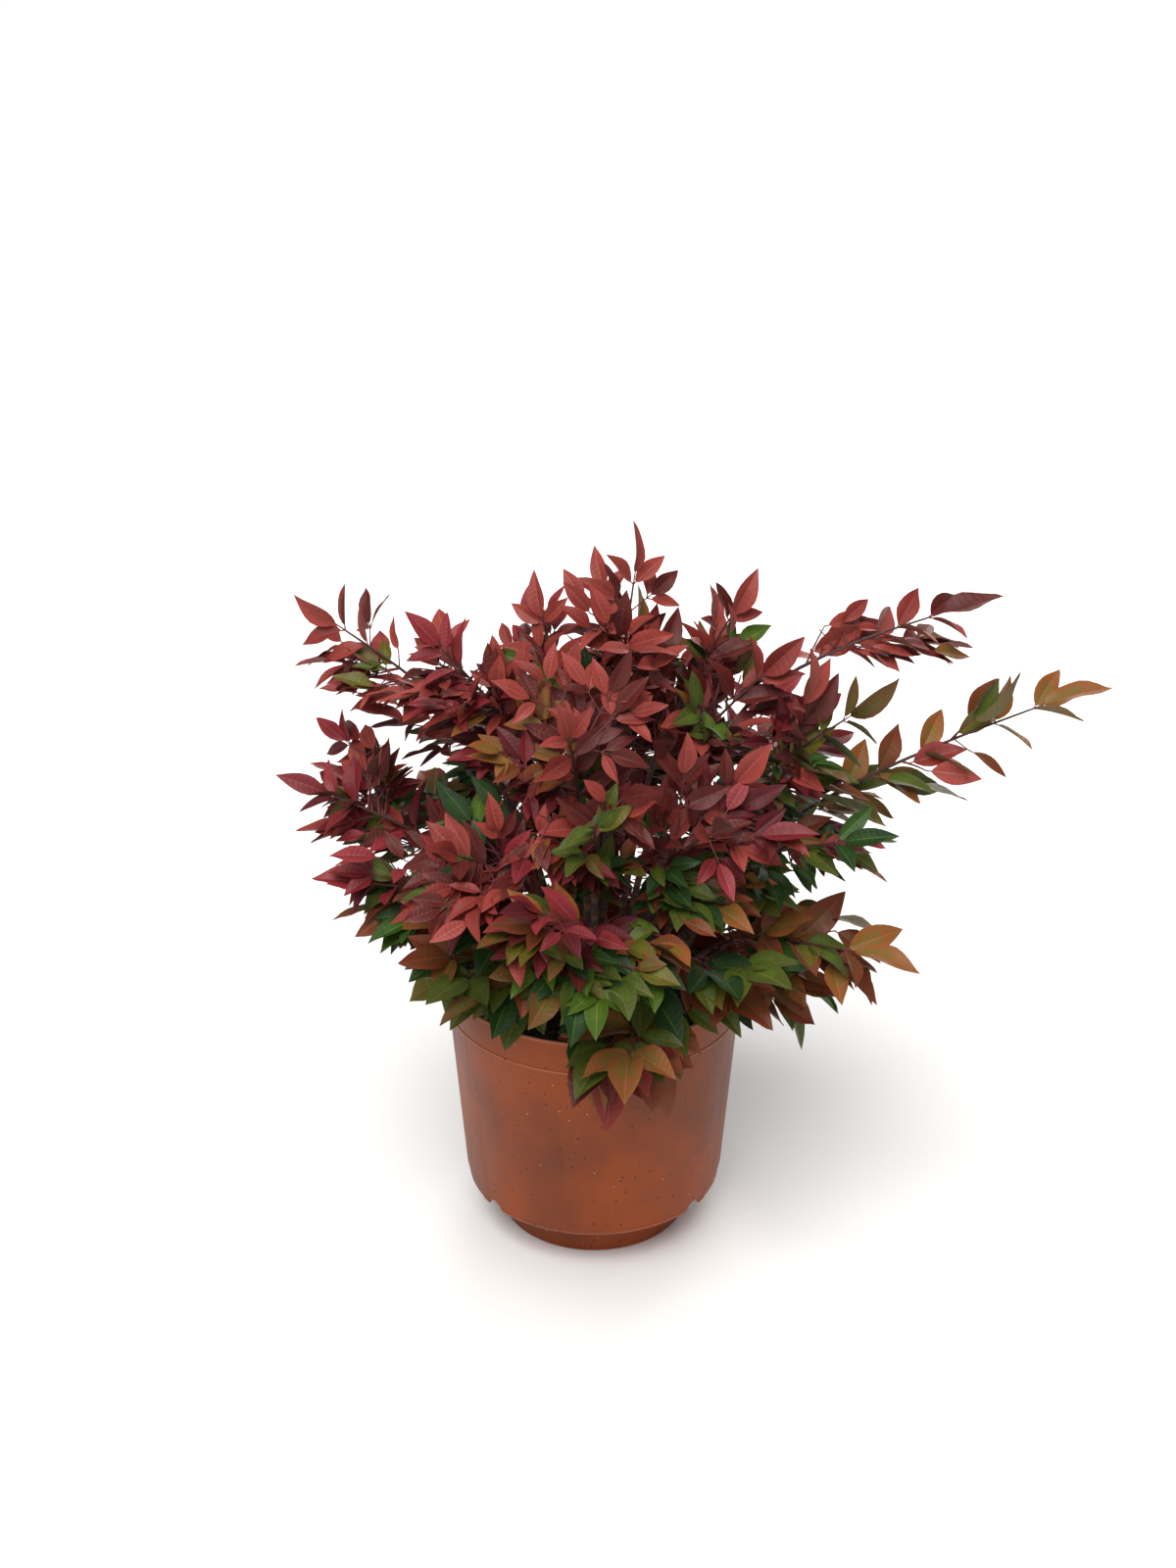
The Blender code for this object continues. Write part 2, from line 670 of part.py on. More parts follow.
def build_mass(name, seed, cane_points, outline, parts, material):
    twigs, leaves = grow(name, seed, cane_points)
    pieces = new_collection(f"pieces_{name}")
    path, radius = twigs[0]
    mass = tube(f"foliage_{name}", path, radius, TWIG_END_RADIUS, outline, parts, material)
    for path, radius in twigs[1:]:
        tube("twig", path, radius, TWIG_END_RADIUS, outline, pieces)
    for frame, length, width in leaves:
        leaf_solid(frame, length, width, pieces)
    union = mass.modifiers.new("grow_together", "BOOLEAN")
    union.operation = "UNION"
    union.operand_type = "COLLECTION"
    union.collection = pieces
    evaluated = mass.evaluated_get(bpy.context.evaluated_depsgraph_get())
    joined = bpy.data.meshes.new_from_object(evaluated)
    mass.modifiers.remove(union)
    mass.data = joined
    for piece in list(pieces.objects):
        bpy.data.objects.remove(piece)
    bpy.data.collections.remove(pieces)
    largest_shell(mass.data)
    return len(leaves)


def mass_colour(tip):
    if tip.z > 0.36:
        return LEAF_CRIMSON
    return LEAF_BRONZE if tip.y < 0 and tip.x > 0 else LEAF_GREEN


def build_plant(parts, guides):
    cane_outline = tube_outline(CANE_SIDES)
    twig_outline = tube_outline(TWIG_SIDES)
    guides.objects.link(cane_outline)
    guides.objects.link(twig_outline)
    bark = new_material("cane_bark", CANE_BROWN, 0.7)
    cane_points = []
    for name in MASSES:
        path = cane_path(name)
        tube(
            f"cane_{name}", path, CANE_FOOT_RADIUS, CANE_TIP_RADIUS, cane_outline, parts, bark
        )
        curve = cane_curve(name)
        cane_points += [bezier(*curve, step / CANE_SAMPLES) for step in range(CANE_SAMPLES + 1)]
    total = 0
    for index, name in enumerate(MASSES):
        colour = mass_colour(MASSES[name].tip)
        material = new_material(f"leaves_{name}", colour, 0.5)
        total += build_mass(name, index + 1, cane_points, twig_outline, parts, material)
    print(f"{total} leaves in {len(MASSES)} masses")


def main():
    clear_scene()
    parts = new_collection("heavenly_bamboo")
    cutters = new_collection("cutters")
    build_pot(parts, cutters)
    build_soil(parts)
    build_plant(parts, cutters)


main()
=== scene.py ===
import math
import random

import bmesh
import bpy
import numpy as np
from mathutils import Matrix, Vector, noise
from mathutils.bvhtree import BVHTree


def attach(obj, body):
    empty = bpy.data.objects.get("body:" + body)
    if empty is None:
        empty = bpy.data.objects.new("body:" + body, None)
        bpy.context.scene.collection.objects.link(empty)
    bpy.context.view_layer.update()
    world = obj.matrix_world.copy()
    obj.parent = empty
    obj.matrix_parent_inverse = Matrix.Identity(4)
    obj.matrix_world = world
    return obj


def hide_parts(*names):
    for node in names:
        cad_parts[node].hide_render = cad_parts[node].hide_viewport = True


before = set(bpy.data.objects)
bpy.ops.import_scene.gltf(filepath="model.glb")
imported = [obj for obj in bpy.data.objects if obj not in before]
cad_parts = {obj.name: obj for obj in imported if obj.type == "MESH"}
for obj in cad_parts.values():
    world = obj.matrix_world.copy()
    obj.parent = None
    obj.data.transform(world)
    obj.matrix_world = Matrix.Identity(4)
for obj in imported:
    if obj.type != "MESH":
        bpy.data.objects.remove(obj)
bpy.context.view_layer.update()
print("frame loaded,", len(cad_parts), "nodes")


def srgb(red, green, blue):
    # a colour picked on a 0-255 scale, as the linear values that shaders take
    return tuple(((v / 255 + 0.055) / 1.055) ** 2.4 for v in (red, green, blue))


def newMaterial(name, colour, roughness=0.5):
    material = bpy.data.materials.new(name)
    material.use_nodes = True
    shader = material.node_tree.nodes["Principled BSDF"]
    shader.inputs["Base Color"].default_value = (*colour, 1)
    shader.inputs["Roughness"].default_value = roughness
    return material, material.node_tree, shader


def addNode(tree, kind, **values):
    # settings of the node and unlinked inputs are both given by name, with _ for a space
    node = tree.nodes.new(kind)
    for key, value in values.items():
        if hasattr(node, key):
            setattr(node, key, value)
        else:
            node.inputs[key.replace("_", " ")].default_value = value
    return node


def objectCoords(tree, stretch=(1, 1, 1)):
    coords = addNode(tree, "ShaderNodeTexCoord")
    mapping = addNode(tree, "ShaderNodeMapping")
    mapping.inputs["Scale"].default_value = stretch
    tree.links.new(coords.outputs["Object"], mapping.inputs["Vector"])
    return mapping.outputs["Vector"]


def noiseOf(tree, vector, scale, detail=4.0, roughness=0.5):
    node = addNode(tree, "ShaderNodeTexNoise", Scale=scale, Detail=detail, Roughness=roughness)
    tree.links.new(vector, node.inputs["Vector"])
    return node.outputs["Fac"]


def ramp(tree, factor, stops):
    # stops are (place, colour or grey) pairs
    node = addNode(tree, "ShaderNodeValToRGB")
    elements = node.color_ramp.elements
    while len(elements) < len(stops):
        elements.new(0.5)
    for element, (place, colour) in zip(elements, stops):
        element.position = place
        element.color = (*colour, 1) if isinstance(colour, tuple) else (colour,) * 3 + (1,)
    tree.links.new(factor, node.inputs["Fac"])
    return node.outputs["Color"]


def mixed(tree, factor, first, second, blend="MIX"):
    node = addNode(tree, "ShaderNodeMix", data_type="RGBA", blend_type=blend)
    for socket, value in ((node.inputs[0], factor), (node.inputs[6], first), (node.inputs[7], second)):
        if isinstance(value, bpy.types.NodeSocket):
            tree.links.new(value, socket)
        else:
            socket.default_value = (*value, 1) if isinstance(value, tuple) else value
    return node.outputs[2]


def bumpFrom(tree, shader, height, strength, distance):
    node = addNode(tree, "ShaderNodeBump", Strength=strength, Distance=distance)
    tree.links.new(height, node.inputs["Height"])
    tree.links.new(node.outputs["Normal"], shader.inputs["Normal"])
    return node


def addObject(name, mesh, materials=()):
    made = bpy.data.objects.new(name, mesh)
    bpy.context.scene.collection.objects.link(made)
    for material in materials:
        mesh.materials.append(material)
    return made


def meshFrom(bm, name):
    mesh = bpy.data.meshes.new(name)
    bm.to_mesh(mesh)
    bm.free()
    return mesh


def smoothShade(mesh, sharpFrom):
    mesh.shade_smooth()
    mesh.set_sharp_from_angle(angle=math.radians(sharpFrom))


def applyModifiers(made):
    graph = bpy.context.evaluated_depsgraph_get()
    mesh = bpy.data.meshes.new_from_object(made.evaluated_get(graph))
    made.modifiers.clear()
    made.data = mesh


# camera and light

cameraSetup = {
    "lens": 58.5,
    "sensor": 36,
    "place": (-0.0045, -1.632, 1.154),
    "pitch": 26.07,  # degrees below level
}
lightSetup = {
    "sun": {"direction": (0.24, 0.74, -1.50), "strength": 3.4, "spread": 50, "colour": (1.0, 0.98, 0.95)},
    "panels": {
        "front": {"place": (-0.1, -1.8, 0.9), "size": 1.2, "power": 4, "colour": (1.0, 0.98, 0.96)},
        "back": {"place": (0.5, 2.0, 1.2), "size": 1.6, "power": 24, "colour": (1.0, 0.98, 0.96)},
    },
    "aim": Vector((0.03, 0.0, 0.26)),
    "sky": (0.96, 0.98, 1.0),
    "skyStrength": 0.24,
}
floorSetup = {"reach": 6, "colour": (0.92, 0.92, 0.92), "roughness": 0.7, "grain": 60,
              "relief": (0.05, 0.001), "drop": 0.0004}


def makeCamera():
    data = bpy.data.cameras.new("camera")
    data.lens = cameraSetup["lens"]
    data.sensor_width = cameraSetup["sensor"]
    camera = bpy.data.objects.new("camera", data)
    camera.location = cameraSetup["place"]
    camera.rotation_euler = (math.radians(90 - cameraSetup["pitch"]), 0, 0)
    bpy.context.scene.collection.objects.link(camera)
    bpy.context.scene.camera = camera


def addLight(name, kind, setup, direction):
    light = bpy.data.lights.new(name, kind)
    light.color = setup["colour"]
    lamp = bpy.data.objects.new(name, light)
    lamp.rotation_euler = direction.to_track_quat("-Z", "Y").to_euler()
    bpy.context.scene.collection.objects.link(lamp)
    return lamp


def makeLights():
    setup = lightSetup["sun"]
    lamp = addLight("sun", "SUN", setup, Vector(setup["direction"]))
    lamp.data.energy = setup["strength"]
    lamp.data.angle = math.radians(setup["spread"])
    for name, setup in lightSetup["panels"].items():
        lamp = addLight(name, "AREA", setup, lightSetup["aim"] - Vector(setup["place"]))
        lamp.location = setup["place"]
        lamp.data.size = setup["size"]
        lamp.data.energy = setup["power"]
        lamp.visible_camera = False  # the panels light the plant without showing in any view
    world = bpy.data.worlds.new("studio")
    bpy.context.scene.world = world
    world.use_nodes = True
    backdrop = world.node_tree.nodes["Background"]
    backdrop.inputs["Color"].default_value = (*lightSetup["sky"], 1)
    backdrop.inputs["Strength"].default_value = lightSetup["skyStrength"]
    bpy.context.scene.view_settings.view_transform = "Standard"


def makeFloor():
    bm = bmesh.new()
    bmesh.ops.create_grid(bm, x_segments=1, y_segments=1, size=floorSetup["reach"])
    mesh = meshFrom(bm, "floor")
    material, tree, shader = newMaterial("paleFloor", floorSetup["colour"], floorSetup["roughness"])
    grain = noiseOf(tree, objectCoords(tree), floorSetup["grain"])
    bumpFrom(tree, shader, grain, *floorSetup["relief"])
    floor = addObject("floor", mesh, [material])
    floor.location.z = -floorSetup["drop"]  # just under the pot's foot


makeCamera()
makeLights()
makeFloor()
print("camera, lights and floor made")


# the pot: a thin turned shell with a bead, a hollow lip, drain notches and two set-back panels

pot = {
    "height": 0.206,
    "rimRadius": 0.110,
    "lipRadius": 0.0962,
    "lipHeight": 0.0335,
    "wall": 0.0024,
    "beadHeight": 0.180,
    "beadSize": 0.0009,
    "bandStep": 0.0003,
    "wallRings": (0.140, 0.090),
    "lipBead": (0.0042, 0.0028, 0.0018),  # top, middle and foot of a small bead above the lip's edge
    "footRadius": 0.0696,
    "footRound": (0.0015, 0.0012, 0.0004),  # up its side, along its underside, and the corner between
    "floor": 0.003,
    "shelfHeight": 0.0405,
    "shelfRound": 0.0008,
    "insideRound": 0.001,
    "edgeRound": 0.0006,
    "sides": 180,
    "sharpFrom": 38,
    "notchRadius": 0.0085,
    "notchTop": 0.0400,
    "notchDepth": 0.012,
    "notchSides": 40,
    "notchAngles": (50, 130, 230, 310),
    "panelAngles": (90, 270),
    "panelSpan": 62,
    "panelFoot": 0.0235,
    "panelTop": 0.0440,
    "panelDepth": 0.0011,
    "plastic": srgb(136, 59, 12),
    "plasticShade": srgb(105, 47, 18),
    "plasticPale": srgb(150, 78, 34),
    # colour of the painted highlight lines on the bead, the lip's edge and the rim
    "highlightPale": srgb(196, 126, 96),
    "speck": srgb(46, 20, 12),
    "dust": srgb(205, 190, 175),
    "speckSize": (120.0, 0.092),  # how fine the pattern is, and how far each speck reaches in it
    "dustSize": (95.0, 0.030),
    "dotEdge": 0.02,
    "clouds": (11, 3),  # patterns: scale, detail and roughness
    "streaks": (42, 5, 0.6),
    "streakStretch": (1, 1, 0.12),
    "grain": (420, 4, 0.6),
    "relief": (0.12, 0.0004),
    "roughness": 0.42,
    "specular": 0.28,
}


def wallRadius(height, inset=0.0):
    share = (height - pot["lipHeight"]) / (pot["height"] - pot["lipHeight"])
    return pot["lipRadius"] + (pot["rimRadius"] - pot["lipRadius"]) * share - inset


def arc(centre, radius, start, end, steps):
    # points round a centre, angles in degrees from the outward direction
    angles = [math.radians(start + (end - start) * i / steps) for i in range(steps + 1)]
    return [(centre[0] + radius * math.cos(a), centre[1] + radius * math.sin(a)) for a in angles]


def potProfile():
    wall, top, edge = pot["wall"], pot["height"], pot["edgeRound"]
    lip, bead, size = pot["lipHeight"], pot["beadHeight"], pot["beadSize"]
    beadTop, beadMiddle, beadFoot = (lip + rise for rise in pot["lipBead"])
    foot, shelf, shelfRound = pot["footRadius"], pot["shelfHeight"], pot["shelfRound"]
    footSide, footFlat, footEdge = pot["footRound"]
    inside = pot["insideRound"]
    shelfTop = shelf + wall
    return [
        # the inside, from the middle of the floor up to the rim
        (0, pot["floor"]),
        (foot - wall - inside, pot["floor"]),
        (foot - wall, pot["floor"] + inside),
        (foot - wall, shelfTop - inside),
        (foot - wall + inside, shelfTop),
        (wallRadius(shelfTop, wall) - inside, shelfTop),
        (wallRadius(shelfTop, wall), shelfTop + inside),
        *reversed(arc((wallRadius(top, wall / 2), top - wall / 2), wall / 2, 0, 180, 8)),
        # the outside, down the band with its bead, the wall and the lip
        (wallRadius(bead) + pot["bandStep"], bead + size * 1.7),
        (wallRadius(bead) + pot["bandStep"], bead + size * 1.1),
        *reversed(arc((wallRadius(bead), bead), size, -75, 75, 6)),
        (wallRadius(bead - size * 1.3), bead - size * 1.3),
        *[(wallRadius(height), height) for height in pot["wallRings"]],
        (wallRadius(beadTop), beadTop),
        *reversed(arc((wallRadius(beadMiddle), beadMiddle), edge * 0.7, -70, 70, 4)),
        (wallRadius(beadFoot), beadFoot),
        *reversed(arc((wallRadius(lip, edge), lip + edge), edge, -90, 0, 4)),
        (wallRadius(lip, wall), lip),
        # under the shelf and round the foot
        (wallRadius(shelf, wall), shelf),
        (foot + shelfRound, shelf),
        (foot, shelf - shelfRound),
        (foot, footSide),
        (foot - footEdge, footEdge),
        (foot - footFlat, 0),
        (0, 0),
    ]


def notchCutter(angle):
    bm = bmesh.new()
    bmesh.ops.create_cone(
        bm, cap_ends=True, segments=pot["notchSides"], radius1=pot["notchRadius"],
        radius2=pot["notchRadius"], depth=pot["notchDepth"], matrix=Matrix.Rotation(math.pi / 2, 4, "X"),
    )
    mesh = meshFrom(bm, "notchCutter")
    cutter = addObject(f"notchCutter{angle}", mesh)
    radius = wallRadius(pot["lipHeight"], pot["wall"] / 2)
    turn = Matrix.Rotation(math.radians(angle), 4, "Z")
    cutter.location = turn @ Vector((0, -radius, pot["notchTop"] - pot["notchRadius"]))
    cutter.rotation_euler.z = math.radians(angle)
    return cutter


def panelCutter(angle):
    foot, top, depth = pot["panelFoot"], pot["panelTop"], pot["panelDepth"]
    section = [(wallRadius(foot, depth), foot), (pot["rimRadius"], foot)]
    section += [(pot["rimRadius"], top), (wallRadius(top, depth), top)]
    bm = bmesh.new()
    corners = [bm.verts.new((0, -radius, height)) for radius, height in section]
    face = bm.faces.new(corners)
    start = Matrix.Rotation(math.radians(angle - pot["panelSpan"] / 2), 3, "Z")
    bmesh.ops.rotate(bm, verts=corners, matrix=start)
    # a step for every two degrees
    bmesh.ops.spin(
        bm, geom=[face, *face.edges, *corners], axis=(0, 0, 1),
        angle=math.radians(pot["panelSpan"]), steps=pot["panelSpan"] // 2,
    )
    bmesh.ops.recalc_face_normals(bm, faces=bm.faces)
    mesh = meshFrom(bm, "panelCutter")
    return addObject(f"panelCutter{angle}", mesh)


def plasticMaterial():
    material, tree, shader = newMaterial("terracottaPlastic", pot["plastic"], pot["roughness"])
    plain = objectCoords(tree)
    streaked = objectCoords(tree, pot["streakStretch"])
    cloud = noiseOf(tree, plain, *pot["clouds"])
    streak = noiseOf(tree, streaked, *pot["streaks"])
    grain = noiseOf(tree, plain, *pot["grain"])
    body = mixed(tree, ramp(tree, cloud, [(0.36, 0.0), (0.62, 1.0)]), pot["plasticShade"], pot["plastic"])
    body = mixed(tree, ramp(tree, streak, [(0.52, 0.0), (0.80, 0.30)]), body, pot["plasticPale"])
    body = mixed(tree, ramp(tree, streak, [(0.22, 0.45), (0.44, 0.0)]), body, pot["plasticShade"])
    # painted highlights: pale lines on the raised line and on the edges of rim and lip
    apart = addNode(tree, "ShaderNodeSeparateXYZ")
    tree.links.new(plain, apart.inputs["Vector"])
    share = addNode(tree, "ShaderNodeMath", operation="DIVIDE")
    share.inputs[1].default_value = pot["height"]
    tree.links.new(apart.outputs["Z"], share.inputs[0])
    bead, lip = pot["beadHeight"] / pot["height"], pot["lipHeight"] / pot["height"]
    highlightLines = [
        (lip + 0.001, 0.0), (lip + 0.003, 0.45), (lip + 0.007, 0.0),
        (bead - 0.004, 0.0), (bead, 0.75), (bead + 0.004, 0.0), (0.990, 0.0), (0.997, 0.5),
    ]
    body = mixed(tree, ramp(tree, share.outputs[0], highlightLines), body, pot["highlightPale"])
    for kind in ("speck", "dust"):
        fineness, reach = pot[kind + "Size"]
        cells = addNode(tree, "ShaderNodeTexVoronoi", Scale=fineness)
        tree.links.new(plain, cells.inputs["Vector"])
        dots = ramp(tree, cells.outputs["Distance"], [(reach, 0.9), (reach + pot["dotEdge"], 0.0)])
        body = mixed(tree, dots, body, pot[kind])
    tree.links.new(body, shader.inputs["Base Color"])
    tree.links.new(ramp(tree, streak, [(0.3, 0.36), (0.7, 0.54)]), shader.inputs["Roughness"])
    bumpFrom(tree, shader, grain, *pot["relief"])
    shader.inputs["Specular IOR Level"].default_value = pot["specular"]
    return material


def makePot():
    bm = bmesh.new()
    points = [bm.verts.new((radius, 0, height)) for radius, height in potProfile()]
    for start, end in zip(points, points[1:]):
        bm.edges.new((start, end))
    mesh = meshFrom(bm, "pot")
    made = addObject("plasticPot", mesh, [plasticMaterial()])
    turn = made.modifiers.new("turn", "SCREW")
    turn.steps = turn.render_steps = pot["sides"]
    turn.use_merge_vertices = True
    turn.merge_threshold = 0.00001
    cutters = [notchCutter(angle) for angle in pot["notchAngles"]]
    cutters += [panelCutter(angle) for angle in pot["panelAngles"]]
    for cutter in cutters:
        cut = made.modifiers.new("cut", "BOOLEAN")
        cut.operation = "DIFFERENCE"
        cut.object = cutter
    applyModifiers(made)
    for cutter in cutters:
        bpy.data.objects.remove(cutter)
    smoothShade(made.data, pot["sharpFrom"])
    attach(made, "root")
    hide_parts("pot")


makePot()
print("pot made")


# the soil: a lumpy crust over the packed soil, with bark chips and grains on it

soil = {
    "seed": 41,
    "radius": 0.1045,
    "top": 0.1850,
    "rise": 0.0016,
    "edgeDrop": 0.005,
    "rings": 62,
    "spokes": 190,
    "chips": 900,
    "chipMargin": 0.006,
    "chipSize": (0.0012, 0.0042),
    "chipTilt": 0.5,
    "chipDents": 0.15,
    "lumps": (60, 0.9),  # how fine they are, and their share of the rise
    "crumbs": (260, 0.7),
    "colours": [srgb(52, 40, 31), srgb(70, 52, 38), srgb(38, 30, 25), srgb(92, 72, 54)],
    "dark": srgb(26, 20, 16),
    "pale": srgb(66, 51, 38),
    "crumbNoise": (300, 6, 0.7),  # patterns: scale, detail and roughness
    "patchNoise": (45, 3),
    "chipNoise": (900, 3),
    "relief": (0.8, 0.0016),
    "chipRelief": (0.4, 0.0004),
    "roughness": 0.95,
    "chipRoughness": 0.9,
}


def crustHeight(x, y):
    place = Vector((x, y, 0))
    lumpFineness, lumpShare = soil["lumps"]
    crumbFineness, crumbShare = soil["crumbs"]
    lumps = noise.noise(place * lumpFineness)
    crumbs = noise.noise(place * crumbFineness + Vector((7, 3, 0)))
    return soil["top"] + soil["rise"] * (lumpShare * lumps + crumbShare * crumbs)


def crustMaterial():
    material, tree, shader = newMaterial("pottingSoil", soil["pale"], soil["roughness"])
    coords = objectCoords(tree)
    crumbs = noiseOf(tree, coords, *soil["crumbNoise"])
    patches = noiseOf(tree, coords, *soil["patchNoise"])
    colour = ramp(tree, crumbs, [(0.35, soil["dark"]), (0.68, soil["pale"])])
    colour = mixed(tree, ramp(tree, patches, [(0.4, 0.0), (0.7, 0.6)]), colour, soil["dark"])
    tree.links.new(colour, shader.inputs["Base Color"])
    bumpFrom(tree, shader, crumbs, *soil["relief"])
    return material


def makeSoil():
    material = crustMaterial()
    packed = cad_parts["substrate"]
    packed.data.materials.clear()
    packed.data.materials.append(material)
    rings, spokes = soil["rings"], soil["spokes"]
    points = [(0, 0, crustHeight(0, 0))]
    for ring in range(1, rings + 1):
        radius = soil["radius"] * ring / rings
        for spoke in range(spokes):
            turn = math.tau * spoke / spokes
            x, y = radius * math.cos(turn), radius * math.sin(turn)
            points.append((x, y, crustHeight(x, y) if ring < rings else soil["top"] - soil["edgeDrop"]))
    faces = [(0, 1 + spoke, 1 + (spoke + 1) % spokes) for spoke in range(spokes)]
    for ring in range(rings - 1):
        inner, outer = 1 + ring * spokes, 1 + (ring + 1) * spokes
        for spoke in range(spokes):
            after = (spoke + 1) % spokes
            faces.append((inner + spoke, outer + spoke, outer + after, inner + after))
    mesh = bpy.data.meshes.new("soilCrust")
    mesh.from_pydata(points, [], faces)
    mesh.shade_smooth()
    crust = addObject("soilCrust", mesh, [material])
    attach(crust, "root")
    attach(makeChips(), "root")


def makeChips():
    # bark chips and fibre crumbs: dented flat spheres of a few faces
    chance = random.Random(soil["seed"])
    steepest, dents = soil["chipTilt"], soil["chipDents"]
    bm = bmesh.new()
    for _ in range(soil["chips"]):
        radius = (soil["radius"] - soil["chipMargin"]) * math.sqrt(chance.random())
        turn = chance.uniform(0, math.tau)
        x, y = radius * math.cos(turn), radius * math.sin(turn)
        size = chance.uniform(*soil["chipSize"]) * chance.uniform(0.5, 1)
        shape = Matrix.Diagonal((size, size * chance.uniform(0.4, 0.9), size * chance.uniform(0.2, 0.5), 1))
        tilt = Matrix.Rotation(chance.uniform(-steepest, steepest), 4, "X")
        tilt @= Matrix.Rotation(chance.uniform(0, math.tau), 4, "Z")
        place = Matrix.Translation((x, y, crustHeight(x, y) + size * 0.15))
        grown = bmesh.ops.create_icosphere(bm, subdivisions=1, radius=1, matrix=place @ tilt @ shape)
        tone = chance.randrange(len(soil["colours"]))
        for vert in grown["verts"]:
            vert.co += Vector([chance.uniform(-dents, dents) * size for _ in range(3)])
        for face in {face for vert in grown["verts"] for face in vert.link_faces}:
            face.material_index = tone
    mesh = meshFrom(bm, "soilChips")
    materials = []
    for index, colour in enumerate(soil["colours"]):
        material, tree, shader = newMaterial(f"chip{index}", colour, soil["chipRoughness"])
        grain = noiseOf(tree, objectCoords(tree), *soil["chipNoise"])
        bumpFrom(tree, shader, grain, *soil["chipRelief"])
        materials.append(material)
    chips = addObject("soilChips", mesh, materials)
    return chips


makeSoil()
print("soil made")


# growth rule, the same as the solids': canes fan out of the soil, each cane's leader carries
# side twigs by the golden angle, and leaflets stand in pairs with three at each end

plant = {
    "soilTop": 0.184,
    "fitGap": 0.0003,
    "caneFocus": Vector((0, 0, 0.060)),
    "caneFootRadius": 0.0030,
    "caneTipRadius": 0.0021,
    "caneRise": 0.42,
    "hubOut": 0.36,  # how far out a cane ends, as a share of the way to its mass's tip
    "hubLowest": 0.244,
    "crownMiddle": Vector((0.01, 0, 0.27)),
    "shadeLine": 0.09,
    "goldenAngle": math.radians(137.508),
    "goldenShare": 0.618,
    "straightEnd": 0.003,
}

# each mass: tip of its leader, how far up to it the cane ends, girth of its space, side twigs,
# lift of the twigs, leaflet length
masses = {
    "top": ((0.032, 0.020, 0.546), 0.50, 0.056, 20, 0.5, 0.036),
    "top_left": ((-0.044, 0.050, 0.500), 0.55, 0.042, 14, 0.4, 0.032),
    "top_right": ((0.114, 0.040, 0.506), 0.55, 0.050, 16, 0.4, 0.035),
    "left_high": ((-0.208, 0.030, 0.494), 0.60, 0.046, 12, 0.2, 0.036),
    "left_upper": ((-0.126, -0.005, 0.494), 0.60, 0.066, 24, 0.4, 0.034),
    "left_mid": ((-0.222, 0.000, 0.370), 0.50, 0.062, 22, 0.1, 0.036),
    "left_low": ((-0.198, -0.030, 0.306), 0.54, 0.052, 18, 0.4, 0.037),
    "front_top": ((-0.020, -0.112, 0.470), 0.50, 0.070, 26, 0.2, 0.033),
    "front_upper": ((0.000, -0.170, 0.424), 0.50, 0.066, 26, 0.0, 0.034),
    "front_left": ((-0.108, -0.150, 0.390), 0.50, 0.072, 26, 0.0, 0.035),
    "front_right": ((0.092, -0.140, 0.404), 0.50, 0.070, 26, 0.0, 0.035),
    "front_mid": ((-0.004, -0.204, 0.350), 0.50, 0.072, 26, -0.1, 0.035),
    "inner": ((0.006, 0.060, 0.350), 0.50, 0.066, 32, -0.8, 0.036),
    "right_high": ((0.280, 0.030, 0.498), 0.69, 0.042, 7, 0.6, 0.043),
    "right_upper": ((0.142, 0.000, 0.474), 0.58, 0.058, 20, 0.3, 0.038),
    "right_far": ((0.352, -0.020, 0.450), 0.50, 0.034, 6, 0.0, 0.045),
    "right_mid": ((0.206, -0.040, 0.456), 0.50, 0.060, 20, 0.6, 0.041),
    "right_under": ((0.202, -0.098, 0.374), 0.56, 0.046, 14, 0.3, 0.039),
    "right_low": ((0.222, -0.125, 0.292), 0.52, 0.050, 8, 0.1, 0.049),
    "low_front_left": ((-0.108, -0.096, 0.226), 0.50, 0.058, 15, -0.2, 0.040),
    "low_front": ((0.044, -0.178, 0.202), 0.50, 0.060, 13, -0.6, 0.046),
    "low_front_right": ((0.124, -0.124, 0.246), 0.50, 0.056, 13, -0.2, 0.043),
    "low_right": ((0.182, -0.050, 0.214), 0.50, 0.056, 13, -0.2, 0.042),
    "back_top": ((0.036, 0.128, 0.458), 0.50, 0.070, 26, 0.0, 0.037),
    "back_left": ((-0.134, 0.136, 0.388), 0.50, 0.074, 26, -0.4, 0.038),
    "back_right": ((0.158, 0.136, 0.392), 0.50, 0.074, 20, 0.0, 0.038),
    "back_low_left": ((-0.122, 0.140, 0.262), 0.50, 0.066, 24, -0.2, 0.040),
    "back_mid": ((0.014, 0.206, 0.330), 0.50, 0.072, 32, -1.0, 0.040),
    "back_low_right": ((0.128, 0.142, 0.258), 0.50, 0.066, 24, -0.2, 0.040),
}
massNames = list(masses)


def bezier(start, middle, end, share):
    rest = 1 - share
    return start * rest * rest + middle * 2 * rest * share + end * share * share


def hubOf(name):
    tip, risen = Vector(masses[name][0]), masses[name][1]
    height = plant["soilTop"] + (tip.z - plant["soilTop"]) * risen
    return Vector((tip.x * plant["hubOut"], tip.y * plant["hubOut"], max(height, plant["hubLowest"])))


def caneCurve(name):
    hub = hubOf(name)
    focus = plant["caneFocus"]
    reach = hub - focus
    foot = focus + reach * ((plant["soilTop"] + plant["fitGap"] - focus.z) / reach.z)
    return foot, foot + Vector((0, 0, (hub - foot).length * plant["caneRise"])), hub


def caneEndDirection(name):
    middle, hub = caneCurve(name)[1:]
    return (hub - middle).normalized()


hubs = np.array([hubOf(name) for name in massNames])
tips = np.array([masses[name][0] for name in massNames])
girths = np.array([masses[name][2] for name in massNames])
caneShares = [step / 30 for step in range(31)]
canePoints = np.array([bezier(*caneCurve(name), share) for name in massNames for share in caneShares])


